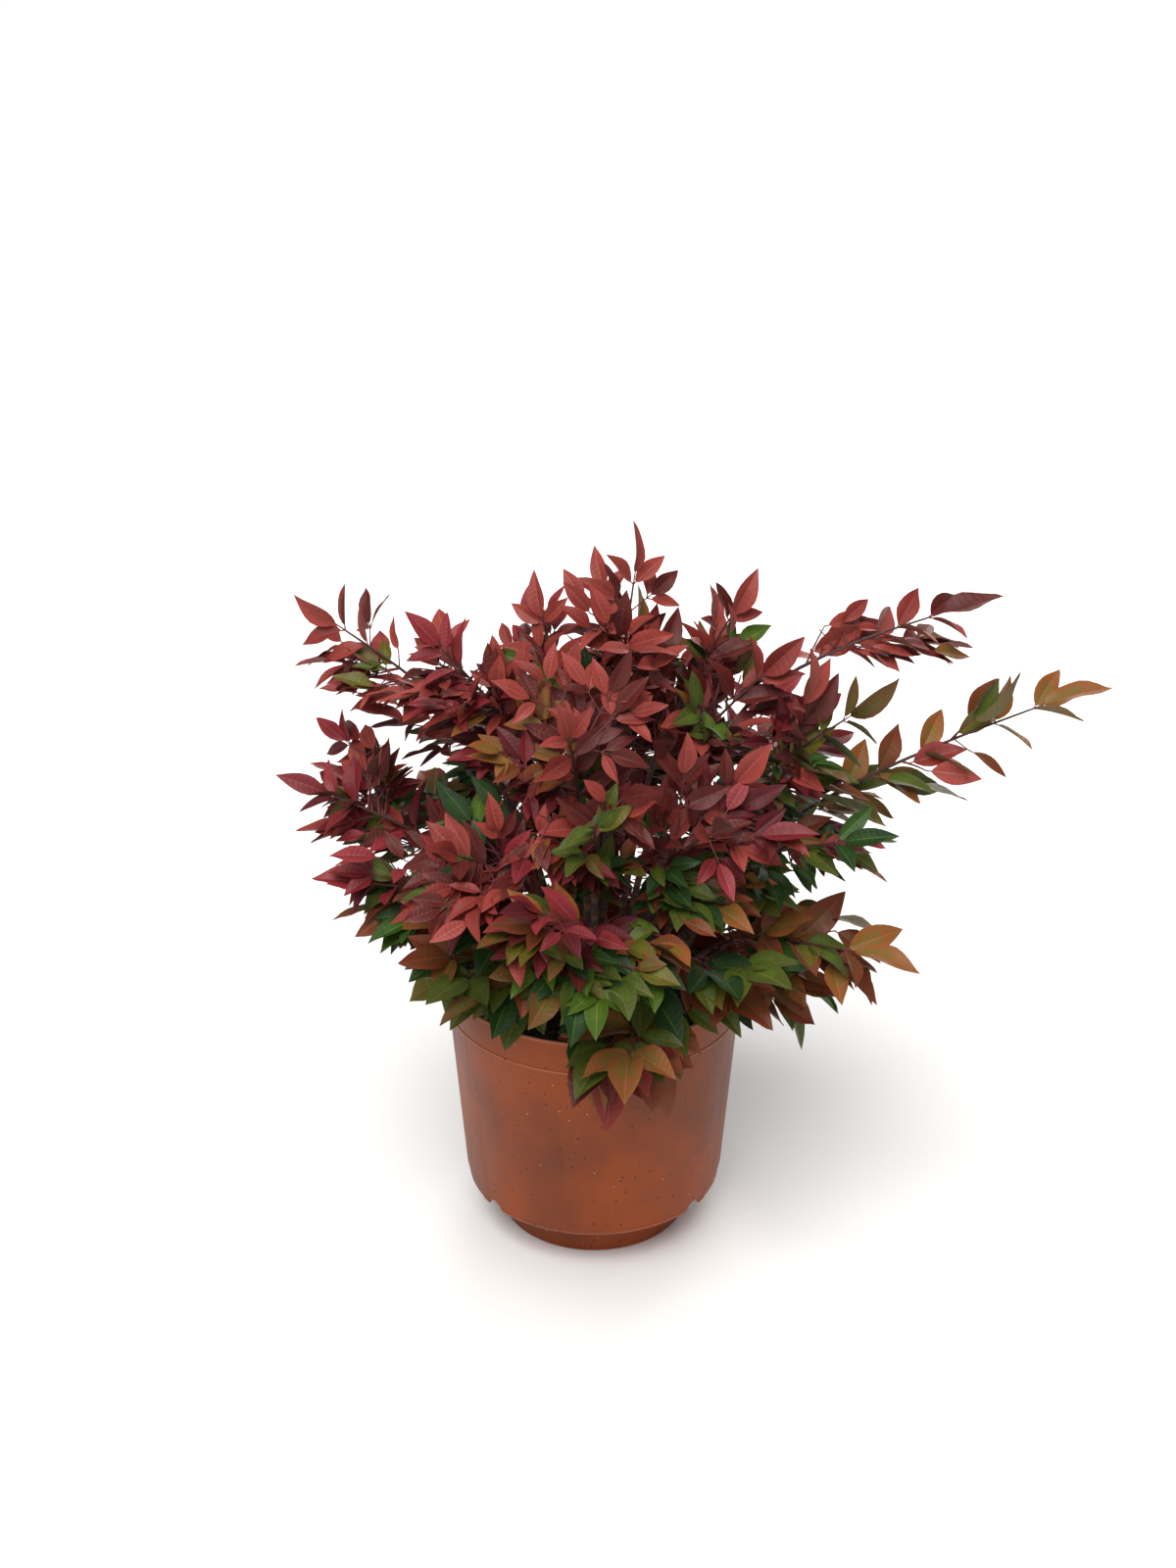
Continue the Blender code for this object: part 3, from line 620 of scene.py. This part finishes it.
def girthRatios(points):
    # how deep each point lies in each mass's space, as a share of its girth
    along = tips - hubs
    offset = points[:, None, :] - hubs
    share = np.clip((offset * along).sum(2) / (along**2).sum(1), 0, 1)
    return np.linalg.norm(offset - share[..., None] * along, axis=2) / girths


def fits(points, massIndex):
    points = np.array(points)
    ratios = girthRatios(points)
    own = ratios[:, massIndex].copy()
    ratios[:, massIndex] = 9
    if (own > growth["reach"]).any() or (ratios.min(1) < own).any():
        return False
    overPot = np.hypot(points[:, 0], points[:, 1]) < pot["rimRadius"] + growth["potClearance"]
    if (overPot & (points[:, 2] < pot["height"] + growth["potClearance"])).any():
        return False
    gaps = np.linalg.norm(points[:, None, :] - canePoints, axis=2)
    return bool((gaps > growth["caneClearance"]).all())


def squareTo(direction, hint):
    return (hint - direction * hint.dot(direction)).normalized()


def outward(place):
    return Vector((place.x, place.y, 0)).normalized()


def facingOut(place, lean):
    # leaves turn to the light, up and away from a line behind the middle
    return Vector((0, 0, 1)) + outward(place - Vector((0, plant["shadeLine"], 0))) * lean


def away(place):
    return (place - plant["crownMiddle"]).normalized()


def pathLength(path):
    return sum((b - a).length for a, b in zip(path, path[1:]))


def pointOn(path, distance):
    for start, end in zip(path, path[1:]):
        run = (end - start).length
        if distance <= run:
            return start.lerp(end, distance / run), (end - start).normalized()
        distance -= run
    return path[-1].copy(), (path[-1] - path[-2]).normalized()


growth = {
    "seed": 1,
    "reach": 1.0,  # how far a mass's leaves may stand out, as a share of its girth
    "potClearance": 0.003,
    "caneClearance": 0.0045,
    "leaderBow": 0.30,  # how far a leader keeps its cane's direction, as a share of its length
    "leaderSteps": 8,
    "endRoom": (1.05, 0.007),  # left between a leader and its mass's tip: share of a leaflet, and more
    "nodeSpacing": 0.66,  # between pairs, as a share of the leaflet's length
    "nodeSway": (0.85, 1.15),
    "firstNode": 0.30,
    "lastNode": 0.45,
    "splay": (40, 74),
    "lift": 0.18,
    "sway": 0.18,
    "raise": 0.12,
    "faceSway": 0.24,
    "planeSway": 0.36,
    "steepLean": 0.7,
    "faceLean": (0.20, 0.75),  # how far a spray's plane leans outward
    "turnsOut": (0, 0.25, 0.5, 0.8),
    "twigTries": 110,
    "twigLean": (40, 68),
    "twigReach": (0.55, 0.92),
    "twigShortest": 0.020,
    "twigLift": 0.25,
    "twigSteps": 4,
    "twigsFrom": 0.04,  # where side twigs start and end on a leader
    "twigsTo": 0.82,
    "twigBend": (0.02, 0.10),
    "twigShortening": 0.85,  # a twig that leaves its space is tried again at this share
    "flatness": 0.5,  # fronds are held out level rather than all round their shoot
    "fineShare": 0.55,  # how many of a twig's inner nodes carry stalks of three leaflets
    "fineTaper": 1.3,
    "leaderFineShare": 0.5,
    "fineLength": (0.012, 0.020),
    "fineSize": 0.82,  # leaflet sizes: on those stalks, in pairs, and at the ends
    "pairSize": (0.84, 1.04),
    "endPairSize": (0.74, 0.90),
    "endSize": (0.96, 1.12),
    "endSplay": (38, 56),
    "endSway": 0.1,
    "petiole": (0.0018, 0.0034),
    "endPetiole": (0.005, 0.009),
    "leaderRadii": (0.0017, 0.0007),
    "twigRadii": (0.0010, 0.0005),
    "fineRadii": (0.0006, 0.00045),
    "stalkOverlap": 0.0008,
    "widestAt": 0.45,
    "bladeForTest": 0.62,  # blades may touch at their rims, but not cross
}


def bladeOf(across, along, up, root, length, width):
    # a flat stand-in for the blade: its root, two rims and tip
    wide = width * growth["bladeForTest"] / 2
    middle = root + along * length * growth["widestAt"]
    left, right = (middle + across * side * wide + up * wide * 0.3 for side in (-1, 1))
    corners = [root + along * length * 0.18, left, root + along * length * 0.97 - up * length * 0.08, right]
    return BVHTree.FromPolygons(corners, [(0, 1, 2), (0, 2, 3)])


def growMass(index, name):
    # returns the mass's twigs as (path, radii) and its leaflets as dictionaries
    tip, risen, girth, twigCount, lift, leafLength = masses[name]
    spacing = leafLength * growth["nodeSpacing"]
    tip = Vector(tip)
    chance = random.Random(growth["seed"] + index)
    twigs, leaflets, blades = [], [], []

    def newSpray(place, rise):
        # leaflets of one spray lie near one plane, which is held up and, on a steep twig, outward
        lean = chance.uniform(*growth["faceLean"]) + max(rise, 0) * growth["steepLean"]
        facing = facingOut(place, lean)
        facing += Vector([chance.uniform(-1, 1) * growth["planeSway"] for _ in range(3)])
        return {"place": place, "key": chance.random(), "facing": facing}

    def tryLeaflet(place, firstDirection, length, petiole, spray):
        facing = spray["facing"] + Vector([chance.uniform(-1, 1) * growth["faceSway"] for _ in range(3)])
        width = length * chance.uniform(*leafShape["width"])
        if place.z < leafShape["broadBelow"]:
            width *= leafShape["broader"]
        for turnOut in growth["turnsOut"]:
            along = (firstDirection + away(place) * turnOut).normalized()
            up = squareTo(along, facing)
            across = along.cross(up)
            root = place + along * petiole
            rib = [root + along * length * share for share in (0.4, 0.7, 0.98)]
            middle = root + along * length * growth["widestAt"]
            rims = [middle + across * side * width / 2 for side in (-1, 1)]
            if not fits(rib + rims, index):
                continue
            blade = bladeOf(across, along, up, root, length, width)
            if any(blade.overlap(other) for other in blades):
                continue
            blades.append(blade)
            leaflets.append({
                "axes": (across, along, up), "root": root, "length": length, "width": width, "spray": spray,
            })
            twigs.append(([place, root + along * growth["stalkOverlap"]], growth["fineRadii"]))
            return True
        return False

    def endSpray(place, along, scale, spray):
        # three leaflets at the end of a stalk
        across = along.cross(squareTo(along, spray["facing"]))
        for side in (-1, 1):
            splay = math.radians(chance.uniform(*growth["endSplay"]))
            direction = along * math.cos(splay) + across * side * math.sin(splay)
            direction.z += chance.uniform(-1, 1) * growth["endSway"]
            length = leafLength * scale * chance.uniform(*growth["endPairSize"])
            tryLeaflet(place, direction.normalized(), length, chance.uniform(*growth["petiole"]), spray)
        petiole = chance.uniform(*growth["endPetiole"]) * scale
        length = leafLength * scale * chance.uniform(*growth["endSize"])
        tryLeaflet(place, along, length, petiole, spray)

    def alongTwig(path, fine, spray):
        # pairs of leaflets at the nodes, or stalks of three leaflets at the inner ones
        total = pathLength(path)
        distance = total * growth["firstNode"]
        while distance < total - spacing * growth["lastNode"]:
            place, along = pointOn(path, distance)
            normal = squareTo(along, spray["facing"])
            across = along.cross(normal)
            stalked = chance.random() < fine * (growth["fineTaper"] - distance / total)
            for side in (-1, 1):
                splay = math.radians(chance.uniform(*growth["splay"]))
                direction = along * math.cos(splay) + across * side * math.sin(splay)
                direction.z += growth["lift"] * lift + chance.uniform(-1, 1) * growth["sway"]
                direction += normal * chance.uniform(0, growth["raise"])
                direction.normalize()
                stalk = place + direction * chance.uniform(*growth["fineLength"])
                if stalked and fits([stalk], index):
                    twigs.append(([place, stalk], growth["fineRadii"]))
                    endSpray(stalk, direction, growth["fineSize"], spray)
                else:
                    length = leafLength * chance.uniform(*growth["pairSize"])
                    tryLeaflet(place, direction, length, chance.uniform(*growth["petiole"]), spray)
            distance += spacing * chance.uniform(*growth["nodeSway"])
        place, along = pointOn(path, total)
        endSpray(place, along, 1.0, spray)

    startDirection = caneEndDirection(name)
    start = hubOf(name) + startDirection * plant["fitGap"]
    inward = (tip - start).normalized()
    leafRoom, extraRoom = growth["endRoom"]
    end = tip - inward * (leafLength * leafRoom + extraRoom)
    middle = start + startDirection * (end - start).length * growth["leaderBow"]
    leader = [start, start + startDirection * plant["straightEnd"]]
    steps = growth["leaderSteps"]
    leader += [bezier(start, middle, end, (step + 1) / steps) for step in range(steps)]
    twigs.append((leader, growth["leaderRadii"]))
    alongTwig(leader, growth["leaderFineShare"], newSpray(tip, inward.z))

    turn = chance.uniform(0, math.tau)
    firstTwig, lastTwig = growth["twigsFrom"], growth["twigsTo"]
    grown = 0
    for step in range(growth["twigTries"]):
        if grown >= twigCount:
            break
        turn += plant["goldenAngle"]
        share = firstTwig + (lastTwig - firstTwig) * (step * plant["goldenShare"] % 1)
        place, along = pointOn(leader, pathLength(leader) * share)
        square = squareTo(along, Vector((0, 0, 1)) if along.z < 0.9 else outward(tip))
        radial = square * math.cos(turn) + along.cross(square) * math.sin(turn)
        lean = math.radians(chance.uniform(*growth["twigLean"]))
        direction = along * math.cos(lean) + radial * math.sin(lean)
        direction.z = direction.z * growth["flatness"] + growth["twigLift"] * lift
        direction.normalize()
        length = girth * chance.uniform(*growth["twigReach"])
        while length > growth["twigShortest"]:
            end = place + direction * length
            if fits([place.lerp(end, 0.6), end], index):
                break
            length *= growth["twigShortening"]
        if length <= growth["twigShortest"]:
            continue
        bend = squareTo(direction, Vector((0, 0, 1))) * length * chance.uniform(*growth["twigBend"])
        middle, steps = place.lerp(end, 0.5) + bend, growth["twigSteps"]
        path = [bezier(place, middle, end, part / steps) for part in range(steps + 1)]
        before = len(leaflets)
        alongTwig(path, growth["fineShare"], newSpray(end, direction.z))
        if len(leaflets) > before:
            twigs.append((path, growth["twigRadii"]))
            grown += 1
    return twigs, leaflets


# leaves: an egg-shaped pointed blade folded along its rib, with both faces and a fine rib

leafShape = {
    "seed": 500,
    "width": (0.37, 0.48),
    "broadBelow": 0.30,  # old leaves low in the crown are broader
    "broader": 1.22,
    "rows": (0, 0.06, 0.16, 0.29, 0.43, 0.57, 0.70, 0.81, 0.91, 1),
    "belly": 0.42,
    "rib": 0.045,
    "fold": (0.20, 0.62),
    "bulge": (0.04, 0.12),
    "droop": (0.02, 0.24),
    "bend": (-0.05, 0.05),
    "twist": (-0.5, 0.5),
    "wave": (0.0, 0.08),
    "waveLength": 9,
    "waveFrom": 0.05,
    "thickness": 0.00034,
    "sharpFrom": 65,
}

# leaf colours: blade, heart next to the rib, rib and underside
tints = {
    "brick": [((130, 49, 43), (121, 46, 40), (142, 70, 62), (118, 69, 61)),
              ((88, 31, 27), (82, 29, 25), (105, 47, 42), (88, 49, 43)),
              ((147, 61, 54), (137, 57, 48), (160, 83, 73), (134, 81, 71))],
    "crimson": [((114, 32, 38), (105, 31, 34), (134, 56, 60), (114, 60, 60)),
                ((84, 24, 30), (78, 23, 27), (103, 42, 45), (88, 46, 46)),
                ((134, 42, 49), (123, 40, 43), (150, 68, 71), (130, 72, 72))],
    "bronze": [((122, 74, 35), (108, 82, 34), (146, 82, 52), (116, 90, 62)),
               ((110, 54, 31), (100, 60, 31), (134, 68, 47), (106, 76, 55)),
               ((134, 82, 39), (116, 90, 37), (154, 90, 58), (122, 96, 66))],
    "olive": [((90, 82, 25), (90, 95, 27), (126, 92, 47), (96, 98, 60)),
              ((70, 80, 27), (74, 92, 29), (112, 98, 48), (86, 98, 60)),
              ((96, 68, 32), (88, 80, 31), (132, 80, 47), (102, 92, 60))],
    "green": [((46, 75, 24), (52, 85, 27), (94, 116, 50), (80, 98, 54)),
              ((30, 55, 21), (36, 64, 23), (74, 96, 43), (66, 86, 48)),
              ((64, 88, 23), (72, 98, 26), (102, 116, 48), (86, 100, 54))],
}
leafFinish = {"roughness": (0.38, 0.56), "specular": 0.24, "underRoughness": (0.62, 0.78),
              "blotches": (220, 3), "veins": 9.0, "veinSlope": 4.5, "relief": (0.16, 0.0005)}


def leafMaterial(name, colour, isUnder):
    material, tree, shader = newMaterial(name, colour, 0.5)
    low, high = leafFinish["roughness"]
    if isUnder:
        low, high = leafFinish["underRoughness"]
    plain = objectCoords(tree)
    blotches = noiseOf(tree, plain, *leafFinish["blotches"])
    tree.links.new(ramp(tree, blotches, [(0.3, low), (0.7, high)]), shader.inputs["Roughness"])
    shader.inputs["Specular IOR Level"].default_value = leafFinish["specular"]
    # veins run from the rib to the rim, slanting to the tip: a wave over the leaf's own map
    coords = addNode(tree, "ShaderNodeUVMap", uv_map="leafMap")
    apart = addNode(tree, "ShaderNodeSeparateXYZ")
    slant = addNode(tree, "ShaderNodeMath", operation="MULTIPLY")
    slant.inputs[1].default_value = leafFinish["veinSlope"]
    down = addNode(tree, "ShaderNodeMath", operation="MULTIPLY_ADD")
    down.inputs[1].default_value = leafFinish["veins"] * math.tau
    wave = addNode(tree, "ShaderNodeMath", operation="SINE")
    both = addNode(tree, "ShaderNodeMath", operation="MULTIPLY_ADD")
    both.inputs[1].default_value = 0.5
    tree.links.new(coords.outputs["UV"], apart.inputs["Vector"])
    tree.links.new(apart.outputs["X"], slant.inputs[0])
    tree.links.new(apart.outputs["Y"], down.inputs[0])
    tree.links.new(slant.outputs[0], down.inputs[2])
    tree.links.new(down.outputs[0], wave.inputs[0])
    tree.links.new(wave.outputs[0], both.inputs[0])
    tree.links.new(blotches, both.inputs[2])
    bumpFrom(tree, shader, both.outputs[0], *leafFinish["relief"])
    return material


def leafMaterials():
    materials, lookup = [], {}
    for family, shades in tints.items():
        for shade, colours in enumerate(shades):
            for part, colour in zip(("blade", "heart", "rib", "under"), colours):
                lookup[family, shade, part] = len(materials)
                name = f"leaf{family.capitalize()}{shade}{part.capitalize()}"
                materials.append(leafMaterial(name, srgb(*colour), part == "under"))
    return materials, lookup


def leafTemplate():
    # points as (row, side share, is lower), and faces with the part of the leaf that they belong to
    rows = leafShape["rows"]
    rib = leafShape["rib"]
    upper = (-1, -0.5, -rib, rib, 0.5, 1)
    lower = (-0.5, 0, 0.5)
    points = [(0.0, 0.0, 0)]
    starts = []
    for row in rows[1:-1]:
        starts.append(len(points))
        points += [(row, side, 0) for side in upper] + [(row, side, 1) for side in lower]
    last = len(points)
    points.append((1.0, 0.0, 0))
    under = (0, 6, 7, 8, 5)  # rim, lower points, rim
    faces, parts = [], []
    for index, start in enumerate(starts[:-1]):
        after = starts[index + 1]
        for strip in range(5):
            faces.append((start + strip, start + strip + 1, after + strip + 1, after + strip))
            inner = strip in (1, 3) and rows[index + 1] < 0.5
            parts.append("rib" if strip == 2 else "heart" if inner else "blade")
        for a, b in zip(under, under[1:]):
            faces.append((start + a, after + a, after + b, start + b))
            parts.append("under")
    for strip in range(5):
        part = "rib" if strip == 2 else "heart" if strip in (1, 3) else "blade"
        faces.append((0, starts[0] + strip + 1, starts[0] + strip))
        parts.append(part)
        faces.append((starts[-1] + strip, starts[-1] + strip + 1, last))
        parts.append("rib" if strip == 2 else "blade")
    for a, b in zip(under, under[1:]):
        faces.append((0, starts[0] + a, starts[0] + b))
        faces.append((starts[-1] + b, starts[-1] + a, last))
        parts += ["under", "under"]
    return np.array(points, float), faces, parts


templatePoints, templateFaces, templateParts = leafTemplate()


def leafPoints(leaf, chance):
    share, side, lowerFace = templatePoints.T
    length, width = leaf["length"], leaf["width"]
    peak = math.log(0.5) / math.log(leafShape["belly"])
    half = width / 2 * np.sin(np.pi * share**peak)
    fold, bulge, droop, bend, twist, wave = (
        chance.uniform(*leafShape[key]) for key in ("fold", "bulge", "droop", "bend", "twist", "wave")
    )
    phase = chance.uniform(0, math.tau)
    x = side * half
    z = np.abs(side) * half * fold + half * bulge * np.sin(np.pi * np.abs(side))
    ripple = np.sin(share * leafShape["waveLength"] + phase + side) * (share > leafShape["waveFrom"])
    z += wave * width * np.abs(side) * ripple
    z -= lowerFace * leafShape["thickness"]
    y = share * length
    angle = twist * share
    x, z = x * np.cos(angle) - z * np.sin(angle), x * np.sin(angle) + z * np.cos(angle)
    x = x + bend * length * share**2
    z = z - droop * length * share**2
    across, along, up = (np.array(axis) for axis in leaf["axes"])
    return np.array(leaf["root"]) + x[:, None] * across + y[:, None] * along + z[:, None] * up


tintRule = {
    # height in the crown, and how often each family is dealt there
    "bands": [
        (0.43, {"brick": 80, "crimson": 9, "bronze": 3, "olive": 6, "green": 2}),
        (0.36, {"brick": 54, "crimson": 26, "bronze": 8, "olive": 10, "green": 2}),
        (0.31, {"brick": 26, "crimson": 40, "bronze": 6, "olive": 16, "green": 12}),
        (0.27, {"brick": 7, "crimson": 10, "bronze": 18, "olive": 35, "green": 30}),
        (-1, {"brick": 3, "bronze": 31, "olive": 40, "green": 26}),
    ],
    # places that turned late or early: low corner, high corner and what is dealt there instead
    "patches": [
        ((0.20, -0.06, 0.36), (0.40, 0.02, 0.47), {"bronze": 62, "olive": 22, "brick": 16}),
        ((0.13, -0.10, 0.34), (0.21, 0.02, 0.42), {"olive": 20, "green": 10, "crimson": 44, "bronze": 26}),
        ((0.05, -0.08, 0.42), (0.13, 0.04, 0.47), {"olive": 45, "brick": 40, "green": 15}),
        ((-0.30, -0.30, 0.30), (-0.05, 0.06, 0.40), {"brick": 52, "crimson": 38, "olive": 7, "green": 3}),
        ((-0.03, -0.26, 0.10), (0.09, -0.10, 0.245), {"bronze": 78, "olive": 10, "green": 4, "brick": 8}),
        ((-0.04, -0.26, 0.20), (0.09, -0.10, 0.345), {"green": 26, "olive": 34, "bronze": 33, "crimson": 7}),
        ((0.15, -0.24, 0.24), (0.30, -0.06, 0.34), {"olive": 9, "bronze": 91}),
        ((0.09, -0.24, 0.15), (0.30, 0.00, 0.34), {"bronze": 66, "olive": 18, "green": 16}),
    ],
    "innerGreen": 0.92,  # old sprays deep in the crown stay green
    "greenBelow": 0.36,
    "innerPaintedShade": 1.7,  # and leaves there take their family's dark shade: painted shade deep in the crown
    "innerSize": 0.2,
    "shares": (1, 1, 1),  # of a family's mid, dark and light leaves
    "youngAndLitShares": (2, 1, 3),  # and of those high in the crown: painted light on the crown's top, with its brighter new growth
    "youngAndLitAbove": 0.42,
}


def depthOf(place):
    return max(0, 1 - (place - plant["crownMiddle"]).length / tintRule["innerSize"])


def tintOf(spray, name):
    chance = random.Random(f"{name} {spray['key']:.6f}")
    place = spray["place"]
    if place.z < tintRule["greenBelow"] and chance.random() < tintRule["innerGreen"] * depthOf(place):
        return chance.choice(["green", "green", "olive"])
    for low, high, dealt in tintRule["patches"]:
        if all(a < value < b for a, value, b in zip(low, place, high)):
            return chance.choices(list(dealt), list(dealt.values()))[0]
    for height, dealt in tintRule["bands"]:
        if place.z > height:
            return chance.choices(list(dealt), list(dealt.values()))[0]


def makeLeaves(index, name, leaflets, materials, lookup):
    chance = random.Random(leafShape["seed"] + index)
    count = len(templatePoints)
    points, faces, tones = [], [], []
    for number, leaf in enumerate(leaflets):
        points.append(leafPoints(leaf, chance))
        offset = number * count
        faces += [tuple(offset + corner for corner in face) for face in templateFaces]
        family = tintOf(leaf["spray"], name)
        # painted shade: deep in the crown a leaf takes its family's dark shade
        inPaintedShade = chance.random() < tintRule["innerPaintedShade"] * depthOf(leaf["root"])
        # high in the crown leaves take the lighter shades more often: painted light on the crown's top, with
        # its brighter new growth
        isYoungAndLit = leaf["root"].z > tintRule["youngAndLitAbove"]
        shares = tintRule["youngAndLitShares"] if isYoungAndLit else tintRule["shares"]
        shade = 1 if inPaintedShade else chance.choices(range(3), shares)[0]
        tones += [lookup[family, shade, part] for part in templateParts]
    mesh = bpy.data.meshes.new(f"leaves_{name}")
    mesh.from_pydata(np.concatenate(points), [], faces)
    used = sorted(set(tones))
    mesh.polygons.foreach_set("material_index", [used.index(tone) for tone in tones])
    leafMap = mesh.uv_layers.new(name="leafMap")
    flat = np.tile(np.stack([np.abs(templatePoints[:, 1]), templatePoints[:, 0]], 1), (len(leaflets), 1))
    corners = np.zeros(len(mesh.loops), int)
    mesh.loops.foreach_get("vertex_index", corners)
    leafMap.data.foreach_set("uv", flat[corners].ravel())
    smoothShade(mesh, leafShape["sharpFrom"])
    made = addObject(f"leaves_{name}", mesh, [materials[tone] for tone in used])
    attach(made, "root")
    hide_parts(f"foliage_{name}")
    return made


# twigs and canes

bark = {
    # colour, roughness and how fine the fibres are
    "twigRed": (srgb(98, 38, 36), 0.55, 900),
    "twigBrown": (srgb(66, 36, 28), 0.60, 900),
    "caneBrown": (srgb(64, 40, 32), 0.80, 700),
    "caneSheath": (srgb(92, 64, 48), 0.85, 700),
    "stretch": (1, 1, 0.18),
    "fibres": (5, 0.65),  # detail and roughness of their pattern
    "gloss": (-0.12, 0.1),
    "relief": (0.5, 0.0006),
    "leaderSides": 7,
    "twigSides": 5,
    "twigSharpFrom": 60,
    "caneSharpFrom": 50,
    "caneSides": 14,
    "caneStep": 0.0013,
    "sheathSpacing": 0.017,
    "sheathFlare": 0.096,
    "sheathFade": 0.004,
    "sheathHeight": 0.005,
    "paleShare": 0.32,
    "furrow": 0.09,
    "furrowFineness": (3.2, 45),  # round the cane, and along it
}


def ringsAlong(path, radiusAt, sides):
    # tube points with the rings carried along the path without twisting
    total = pathLength(path)
    points, travelled = [], 0.0
    normal = None
    for index, place in enumerate(path):
        if index:
            travelled += (place - path[index - 1]).length
        before, after = path[max(index - 1, 0)], path[min(index + 1, len(path) - 1)]
        along = (after - before).normalized()
        hint = normal or (Vector((1, 0, 0)) if abs(along.x) < 0.9 else Vector((0, 1, 0)))
        normal = squareTo(along, hint)
        across = along.cross(normal)
        for side in range(sides):
            turn = math.tau * side / sides
            radius = radiusAt(travelled, total, turn)
            points.append(place + (normal * math.cos(turn) + across * math.sin(turn)) * radius)
    return points


def tubeFaces(offset, rings, sides):
    faces = []
    for ring in range(rings - 1):
        low, high = offset + ring * sides, offset + (ring + 1) * sides
        for side in range(sides):
            after = (side + 1) % sides
            faces.append((low + side, low + after, high + after, high + side))
    faces.append(tuple(offset + side for side in reversed(range(sides))))
    faces.append(tuple(offset + (rings - 1) * sides + side for side in range(sides)))
    return faces


def makeTwigs(name, twigs, materials):
    points, faces, tones = [], [], []
    for path, radii in twigs:
        isLeader = radii == growth["leaderRadii"]
        sides = bark["leaderSides"] if isLeader else bark["twigSides"]
        first, last = radii
        rings = ringsAlong(path, lambda run, total, turn: first + (last - first) * run / total, sides)
        added = tubeFaces(len(points), len(path), sides)
        points += rings
        faces += added
        tones += [1 if isLeader else 0] * len(added)
    mesh = bpy.data.meshes.new(f"twigs_{name}")
    mesh.from_pydata(points, [], faces)
    mesh.polygons.foreach_set("material_index", tones)
    smoothShade(mesh, bark["twigSharpFrom"])
    made = addObject(f"twigs_{name}", mesh, materials)
    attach(made, "root")
    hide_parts(f"foliage_{name}")


def makeCane(index, name, materials):
    # bark relief: furrows along the cane, and the rims of old leaf sheaths round it
    curve = caneCurve(name)
    steps = max(24, int((curve[2] - curve[0]).length / bark["caneStep"]))
    path = [bezier(*curve, step / steps) for step in range(steps + 1)]
    seed = index * 13.7
    roundCane, alongCane = bark["furrowFineness"]

    def radiusAt(run, total, turn):
        radius = plant["caneFootRadius"] + (plant["caneTipRadius"] - plant["caneFootRadius"]) * run / total
        sinceSheath = (run + seed * 0.001) % bark["sheathSpacing"]
        flare = bark["sheathFlare"] * math.exp(-sinceSheath / bark["sheathFade"])
        ring = Vector((math.cos(turn) * roundCane + seed, math.sin(turn) * roundCane, run * alongCane))
        furrow = noise.noise(ring)
        return radius * (1 + flare + furrow * bark["furrow"])

    sides = bark["caneSides"]
    points = ringsAlong(path, radiusAt, sides)
    faces = tubeFaces(0, len(path), sides)
    tones = []
    for ring in range(steps):
        run = ring / steps * pathLength(path)
        isPale = (run + seed * 0.001) % bark["sheathSpacing"] < bark["sheathHeight"]
        for side in range(sides):
            patch = noise.noise(Vector((side * 0.9 + seed, ring * 0.21, 2.0)))
            tones.append(1 if isPale or patch > bark["paleShare"] else 0)
    tones += [0, 0]
    mesh = bpy.data.meshes.new(f"bark_{name}")
    mesh.from_pydata(points, [], faces)
    mesh.polygons.foreach_set("material_index", tones)
    smoothShade(mesh, bark["caneSharpFrom"])
    made = addObject(f"bark_{name}", mesh, materials)
    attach(made, "root")
    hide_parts(f"cane_{name}")


def barkMaterial(name, colour, roughness, scale):
    material, tree, shader = newMaterial(name, colour, roughness)
    fibres = noiseOf(tree, objectCoords(tree, bark["stretch"]), scale, *bark["fibres"])
    glossier, duller = bark["gloss"]
    gloss = ramp(tree, fibres, [(0.3, roughness + glossier), (0.7, roughness + duller)])
    tree.links.new(gloss, shader.inputs["Roughness"])
    bumpFrom(tree, shader, fibres, *bark["relief"])
    return material


def makeFoliage():
    materials, lookup = leafMaterials()
    twigMaterials = [barkMaterial(finish, *bark[finish]) for finish in ("twigRed", "twigBrown")]
    caneMaterials = [barkMaterial(finish, *bark[finish]) for finish in ("caneBrown", "caneSheath")]
    total = 0
    for index, name in enumerate(massNames):
        twigs, leaflets = growMass(index, name)
        makeTwigs(name, twigs, twigMaterials)
        makeLeaves(index, name, leaflets, materials, lookup)
        makeCane(index, name, caneMaterials)
        total += len(leaflets)
    print("foliage made,", total, "leaflets")


makeFoliage()
